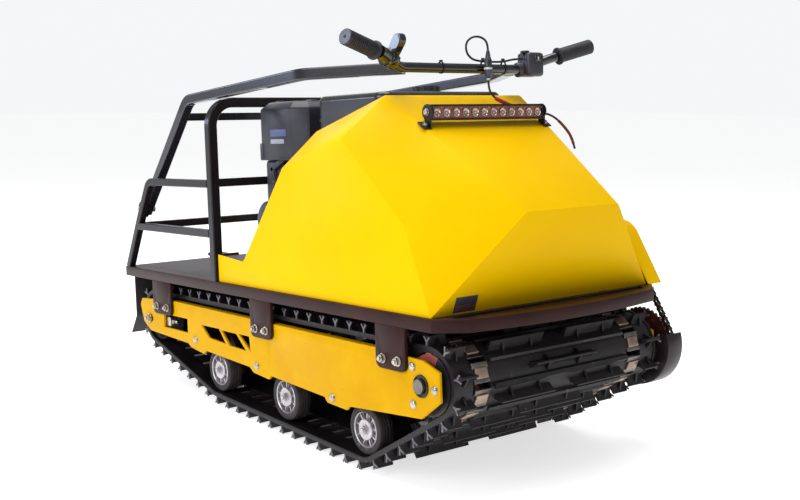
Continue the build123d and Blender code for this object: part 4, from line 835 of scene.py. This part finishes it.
# Handlebar fittings: grips, throttle with its thumb paddle, switch housing, ties
grip = {"start": (1150, 245, 955), "finish": (1177, 361, 986), "radius": 17.3, "flange": 20.6, "ribs": 14,
        "inset": 27.5}
gripForm, gripEndForm = blanks(2)
for hand in (-1, 1):
    start, finishPlace = (Vector((x, hand * y, z)) for x, y, z in (grip["start"], grip["finish"]))
    along = (finishPlace - start).normalized()
    inner = start + along * grip["inset"]
    long = (finishPlace - inner).length + 1.6
    stand = standing(inner, along)
    radius, flange = grip["radius"], grip["flange"]
    profile = [(flange - 1, 0), (flange, 1), (flange, 4.6), (flange - 1.6, 6.2), (radius + 0.5, 7.4)]
    step = (long - 12) / grip["ribs"]
    deep = 1.3 if hand < 0 else 0.35
    for number in range(grip["ribs"]):
        low = 8 + number * step
        profile += [(radius - deep, low), (radius - deep, low + step * 0.36), (radius, low + step * 0.48),
                    (radius, low + step * 0.94)]
    profile += [(radius, long - 2.2), (radius - 1.4, long - 0.6), (radius - 3, long - 0.4)]
    lathed(gripForm, profile, stand, 40)
    turnedRing(gripEndForm, [(15.6, long - 1), (15.6, long - 0.1), (15, long + 0.3), (9.5, long),
                             (9, long + 0.3), (3.8, long + 0.3), (3.2, long - 0.6)], stand, 36)
placed("ribbedGrips", gripForm, "grip", "arms", ["grips"])
placed("gripEnds", gripEndForm, "gripEnd", "arms")

throttle = {"place": (1139.7, -222, 947), "along": (30, -67, 23), "plane": -216,
            "tip": (1168, 985, 13.5), "root": (1143, 955, 11.5)}
throttleForm = bmesh.new()
stand = standing(throttle["place"], throttle["along"])
lathed(throttleForm, [(15.5, -15), (18.4, -13.6), (18.8, -12), (18.8, 8), (17.8, 9.6), (20, 10.2), (20, 14.2),
                      (17, 15.2), (16.2, 18), (15.6, 30), (14.6, 46)], stand, 40)
block(throttleForm, (10, -9, -9), (23, 9, 9), 3, stand)
paddle = loopLine([throttle["tip"], throttle["root"]], 0, 20)
(tipX, tipZ), (rootX, rootZ) = throttle["tip"][:2], throttle["root"][:2]
centre = Vector((tipX + rootX, tipZ + rootZ)) / 2
for low, high, shrink in ((-8, 8, 0), (-9.2, 9.2, 1.8)):
    outline = [tuple(centre + (Vector(point) - centre) * (1 - shrink / 22)) for point in paddle]
    prism(throttleForm, outline, low, high, standing((0, throttle["plane"], 0), (0, -1, 0)))
lathed(throttleForm, [(6.4, 6), (6.4, 9.6), (5.4, 10.4)],
       standing((rootX, throttle["plane"], rootZ), (0, -1, 0)), 20)
placed("thumbPaddle", throttleForm, "bar", "arms", ["thumb_throttle"])

switch = {"low": (1108.5, 181, 915), "high": (1153.5, 231.5, 971), "soft": 8.5, "seam": 1131}
switchForm, buttonForm, dotForm = blanks(3)
(lowX, lowY, lowZ), (highX, highY, highZ) = switch["low"], switch["high"]
block(switchForm, (lowX, lowY, lowZ), (switch["seam"] - 0.6, highY, highZ), switch["soft"])
block(switchForm, (switch["seam"] + 0.6, lowY, lowZ), (highX, highY, highZ), switch["soft"])
block(switchForm, (lowX + 6, lowY + 2, lowZ + 6), (highX - 6, highY - 2, highZ - 6), 4)
turnedRing(switchForm, [(11.4, -31), (11.4, 31), (16.5, 30), (17.5, 27), (17.5, -27), (16.5, -30)],
           standing((1123, 203, 935), (0.25, 1, 0.15)), 32)
block(buttonForm, (highX - 1.5, 197, 950), (highX + 3.4, 217, 963), 2.2)
lathed(buttonForm, [(7.4, -1), (7.4, 2), (6.2, 3.2), (5.4, 3), (3, 2.2)],
       standing((highX, 212, 930), (1, 0, 0)), 28)
block(buttonForm, (1118, 184, highZ - 2), (1136, 200, highZ + 5), 2.6)
for y in (193, 200, 207):
    lathed(dotForm, [(1.3, -0.4), (1.3, 0.5), (0.8, 0.8)], standing((highX - 0.2, y, 944.5), (1, 0, 0)), 12)
block(dotForm, (highX + 2.8, 205, 953), (highX + 3.8, 209, 960), 0.3)
block(dotForm, (1125, 189, highZ + 4.6), (1128, 195, highZ + 5.5), 0.3)
placed("switchShell", switchForm, "plastic", "arms", ["switch_housing"])
placed("switchButtons", buttonForm, "bar", "arms")
placed("switchDots", dotForm, "paleDot", "arms")

tie = {"bar": (1120, 932, 11.3), "cable": (1121.6, 948.8, 3), "alone": (1120, 936, 9), "thick": 1.3,
       "wide": 2.2, "places": ((-62, False), (127, True), (64, True))}
tieForm = bmesh.new()
for y, carriesCable in tie["places"]:
    circles = [tie["cable"] if carriesCable else tie["alone"], tie["bar"]]
    inner, outer = (loopLine(circles, grow, 15) for grow in (0, tie["thick"]))
    band(tieForm, inner, outer, y - tie["wide"], y + tie["wide"])
    high = 952 if carriesCable else 945
    block(tieForm, (1117, y - 3.2, high), (1123.5, y + 3.2, high + 4.8), 0.8)
placed("cableTies", tieForm, "wire", "arms")

armEnd = {"tip": (1107, 158, 931), "bend": (914, 292, 928), "half": 12.4}
capForm = bmesh.new()
for hand in (-1, 1):
    tip, bend = (Vector((x, hand * y, z)) for x, y, z in (armEnd["tip"], armEnd["bend"]))
    stand = standing(tip, tip - bend, (0, 0, 1))
    block(capForm, (-armEnd["half"], -armEnd["half"], -1.5), (armEnd["half"], armEnd["half"], 1), 1.2, stand)
placed("armEndCaps", capForm, "zinc", "arms")
print("handlebar dressed")

# Plug in two halves: ribbed strain relief above, a pale collar and a white tip below
plug = {"place": (1142, 60, 0), "ribs": 5, "ribPitch": 3.6}
plugTop, plugLow, collarForm, tipForm = blanks(4)
stand = standing(plug["place"])
relief = [(8.8, 934.2), (8.8, 950), (8, 952)]
for rib in range(plug["ribs"]):
    low = rib * plug["ribPitch"]
    relief += [(7.4 - rib * 0.7, 953.5 + low), (6.2 - rib * 0.6, 955.2 + low)]
lathed(plugTop, relief + [(3.2, 971.6)], stand, 28)
lathed(plugLow, [(3.6, 909), (6.6, 913), (8.2, 918), (8.8, 922), (8.8, 933.8)], stand, 28)
turnedRing(collarForm, [(8.4, 928.6), (9.3, 929.2), (9.3, 933.4), (8.4, 934)], stand, 28)
lathed(tipForm, [(2.7, 904.6), (3.9, 905.4), (4.2, 909.4), (3.2, 910.6)], stand, 20)
upperHalf = [placed("plugTop", plugTop, "plastic", "arms", ["plug_upper"])]
lowerHalf = [placed("plugLow", plugLow, "cover", "root", ["plug_lower"], "black_plastic"),
             placed("plugCollar", collarForm, "paleDot"),
             placed("plugTip", tipForm, "paleDot")]

# Wires: smooth splines through the same route points as the solids
cord = {"thick": 0.005, "sleeveSides": 16}
wireRoute = [
    (1142, 60, 906), (1142, 60, 886), (1150, 66, 868), (1158, 82, 857),
    (1162, 104, 849), (1163, 126, 840), (1170, 140, 832), (1185.7, 140, 832),
]
leadRoute = [
    (1196, 171.6, 828), (1196, 188, 828), (1210, 204, 818), (1226, 218, 796),
    (1238, 231, 770), (1244, 233, 744),
]
cableRoute = [
    (1142, 60, 972), (1142, 60, 990), (1134, 47, 1003), (1128, 26, 1003),
    (1124, 10, 990), (1124, 10, 968), (1124, 26, 953), (1122, 52, 949),
    (1121, 88, 948), (1122, 126, 949), (1128, 158, 956), (1131, 179.8, 956),
]


def smoothLine(name, route, fineness):
    curve = bpy.data.curves.new(name, "CURVE")
    curve.dimensions = "3D"
    curve.resolution_u = fineness
    spline = curve.splines.new("NURBS")
    spline.points.add(len(route) - 1)
    for point, place in zip(spline.points, route):
        point.co = (*at(*place), 1)
    spline.order_u = 3
    spline.use_endpoint_u = True
    line = bpy.data.objects.new(name, curve)
    scene.collection.objects.link(line)
    return line


def wire(name, route, replaced, body):
    piece = smoothLine(name, route, 10)
    piece.data.bevel_depth = cord["thick"] / 2
    piece.data.bevel_resolution = 4
    piece.data.use_fill_caps = True
    piece.data.materials.append(paint["wire"])
    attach(piece, body)
    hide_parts(replaced)


def sleeveAlong(name, route, first, last, radius, finishName):
    # a heat-shrunk sleeve: a slightly uneven tube along a share of a wire's line
    track = evaluated(smoothLine(name, route, 12))
    points = [vertex.co.copy() for vertex in track.vertices]
    bpy.data.meshes.remove(track)
    count = len(points)
    points = points[int(count * first):max(int(count * first) + 2, int(count * last))]
    form, rings = bmesh.new(), []
    for number, point in enumerate(points):
        before, after = points[max(number - 1, 0)], points[min(number + 1, len(points) - 1)]
        size = radius * (0.82 if number in (0, len(points) - 1) else 1 + 0.05 * sin(number * 2.1)) / 1000
        rings += circled(form, [(size, 0)], standing(point, after - before, (0, 0.3, 1)), cord["sleeveSides"])
    sewn(form, rings)
    capped(form, rings)
    bmesh.ops.recalc_face_normals(form, faces=form.faces)
    return dressed(name, meshOf(name, form), finishName)


redSleeve = sleeveAlong("redSleeve", wireRoute, 0.30, 0.88, 4.6, "red")
leadSleeve = sleeveAlong("leadSleeve", leadRoute, 0.45, 0.96, 3.3, "darkRed")
wire("wireToLamp", wireRoute[::-1], "lamp_wire", "root")
wire("leadFromLamp", leadRoute, "lamp_lead", "root")
wire("cableAlongBar", cableRoute[::-1], "switch_cable", "arms")
print("wires laid")

# Air filter box: seam, latches, lip, blank plates, and the duct with its lever below
airBox = {"x": (570, 742), "y": (-200, 20), "z": (733, 877),
          "lever": ((668, -194, 737), (607, -194, 710), (618, -194, 672)),
          "plates": ((652, 800, 74, 17), (647, 779, 62, 11)), "duct": ((562, -187, 560), (652, -96.5, 734)),
          "pivot": (618, -196, 668), "cover": (628, -186, 580)}
boxTrim, boxPlate, boxPlatePale, leverForm, ductForm, coverForm = blanks(6)
(rear, front), (starboard, port), (under, over) = airBox["x"], airBox["y"], airBox["z"]
block(boxTrim, (rear - 3.5, starboard - 0.8, under - 1), (front - 30, starboard + 4, under + 7), 1.2)
block(boxTrim, (rear - 5, starboard - 1.6, under + 1), (rear + 10, starboard + 60, under + 42), 2)
block(boxTrim, (rear + 30, starboard + 26, over - 4), (rear + 54, starboard + 40, over + 3.2), 1.6)
block(boxTrim, (front - 50, starboard + 60, over - 4), (front - 24, starboard + 76, over + 3.6), 1.6)
block(boxTrim, (front - 38, starboard + 34, under + 10), (front + 1.2, starboard + 37, over - 22), 0.8)
for form, (x, z, wide, tall) in zip((boxPlate, boxPlatePale), airBox["plates"]):
    block(form, (x - wide / 2, starboard - 0.7, z - tall / 2),
          (x + wide / 2, starboard + 0.6, z + tall / 2), 0.3)
block(ductForm, *airBox["duct"], 12)
lever = [Vector(place) for place in airBox["lever"]]
for first, second in zip(lever, lever[1:]):
    middle = standing(first, second - first, (0, 1, 0))
    block(leverForm, (-2, -7, -5), (2, 7, (second - first).length + 5), 1.2, middle)
lathed(leverForm, [(6, 0), (6, 4), (4.4, 5.4)], standing(airBox["pivot"], (0, -1, 0)), 20)
lathed(coverForm, [(51.6, 0), (51.6, 33), (50.4, 37), (46, 41), (36, 44), (12, 45.5)],
       standing(airBox["cover"], (0, -1, 0)), 48)
placed("boxTrim", boxTrim, "plastic")
placed("boxPlate", boxPlate, "plateBlue")
placed("boxPlatePale", boxPlatePale, "platePale")
placed("intakeDuct", ductForm, "plastic")
placed("throttleLink", leverForm, "plastic", slotName="dark_steel")
placed("roundCover", coverForm, "cover")

# Fuel cap with lobes, tank with a rolled seam
tank = {"x": (800, 1062), "half": 185, "corner": 28, "seam": 826, "cap": (992, 0, 884), "capRadius": 33,
        "lobes": 12, "lobe": ((0, 1), (0.4, 1), (0.55, 0.93), (0.85, 0.93))}
capForm, seamForm = blanks(2)
stand = standing(tank["cap"])
lathed(capForm, [(35.5, -0.4), (35.5, 1.2), (34, 2.4)], stand, 40)
prism(capForm, lobedLine(tank["lobes"], tank["capRadius"], tank["lobe"]), 2, 13, stand)
lathed(capForm, [(30.5, 13), (30, 14.6), (27.5, 15.8), (24, 15.8), (23, 14.8), (8, 14.6)], stand, 40)
corner = tank["corner"]
rear, front, half = tank["x"][0] + corner, tank["x"][1] - corner, tank["half"] - corner
rim = [(rear, -half), (front, -half), (front, half), (rear, half)]
for grow, low, high in ((30.2, -3.2, 3.2), (31.4, -1.2, 1.2)):
    outline = []
    for number, (x, y) in enumerate(rim):
        outline += ringed((x, y), grow, 32, pi + number * pi / 2)[:9]
    prism(seamForm, outline, tank["seam"] + low, tank["seam"] + high)
placed("lobedCap", capForm, "plastic", replaced=["fuel_cap"])
placed("tankSeam", seamForm, "tank")
print("engine dressed")

# Studio: soft boxes with place, aim, width, height, power and colour, and a pale floor and world
studio = {
    "floor": 60, "round": 0.32, "seen": 0.94, "glow": 0.52, "glowSeen": 0.66,
    "boxes": {
        "sideLight": ((0.4, -4.4, 2.6), (0.1, 0, 0.45), 3.4, 2.2, 93, (1, 1, 1)),
        "topLight": ((-0.2, -0.2, 4), (0, 0, 0.4), 3.2, 3.2, 132, (1, 1, 1)),
        "rearLight": ((-3.6, 1.6, 2.2), (0, 0, 0.5), 2, 2, 20, (1, 1, 1)),
        "cornerLight": ((2.7, -3.7, 0.9), (0.1, -0.2, 0.6), 0.9, 1.6, 14, (0.72, 0.84, 1)),
        "mirrorLight": ((-4, -2.9, 1.4), (0, -0.3, 0.85), 1.6, 0.7, 30, (0.62, 0.74, 1)),
        "frontLight": ((4.2, 0.6, 1.2), (0.3, 0, 0.4), 1.6, 1.6, 3, (1, 1, 1)),
    },
}
for name, (place, aim, width, height, power, colour) in studio["boxes"].items():
    lamp = bpy.data.lights.new(name, "AREA")
    lamp.shape = "RECTANGLE"
    lamp.size, lamp.size_y = width, height
    lamp.energy = power
    lamp.color = colour
    box = bpy.data.objects.new(name, lamp)
    box.location = place
    box.rotation_euler = (Vector(aim) - Vector(place)).to_track_quat("-Z", "Y").to_euler()
    scene.collection.objects.link(box)


def cameraShare(tree, given, seen):
    # one strength for the light it gives, another for what the camera sees
    ray = addStep(tree, "ShaderNodeLightPath").outputs["Is Camera Ray"]
    return addStep(tree, "ShaderNodeMapRange", Value=ray, To_Min=given, To_Max=seen).outputs["Result"]


world = bpy.data.worlds.new("studio")
world.use_nodes = True
fill(world.node_tree, world.node_tree.nodes["Background"], {
    "Color": (0.97, 0.98, 1, 1), "Strength": cameraShare(world.node_tree, studio["round"], studio["seen"])})
scene.world = world
scene.view_settings.view_transform = "Standard"
floorForm = bmesh.new()
bmesh.ops.create_grid(floorForm, x_segments=2, y_segments=2, size=studio["floor"] / 2)
floor = bpy.data.objects.new("floor", meshOf("floor", floorForm))
scene.collection.objects.link(floor)
floorFinish = finish("paleFloor", "f2f2f3", "eeeeef", (0.5, 0.6), 1.5, 40, 0.02)
floor.data.materials.append(floorFinish)
fill(floorFinish.node_tree, floorFinish.node_tree.nodes["Principled BSDF"], {
    "Emission Color": (1, 1, 1, 1),
    "Emission Strength": cameraShare(floorFinish.node_tree, studio["glow"], studio["glowSeen"])})
print("studio set")

for shape in shapeStore:
    bpy.data.objects.remove(shape)
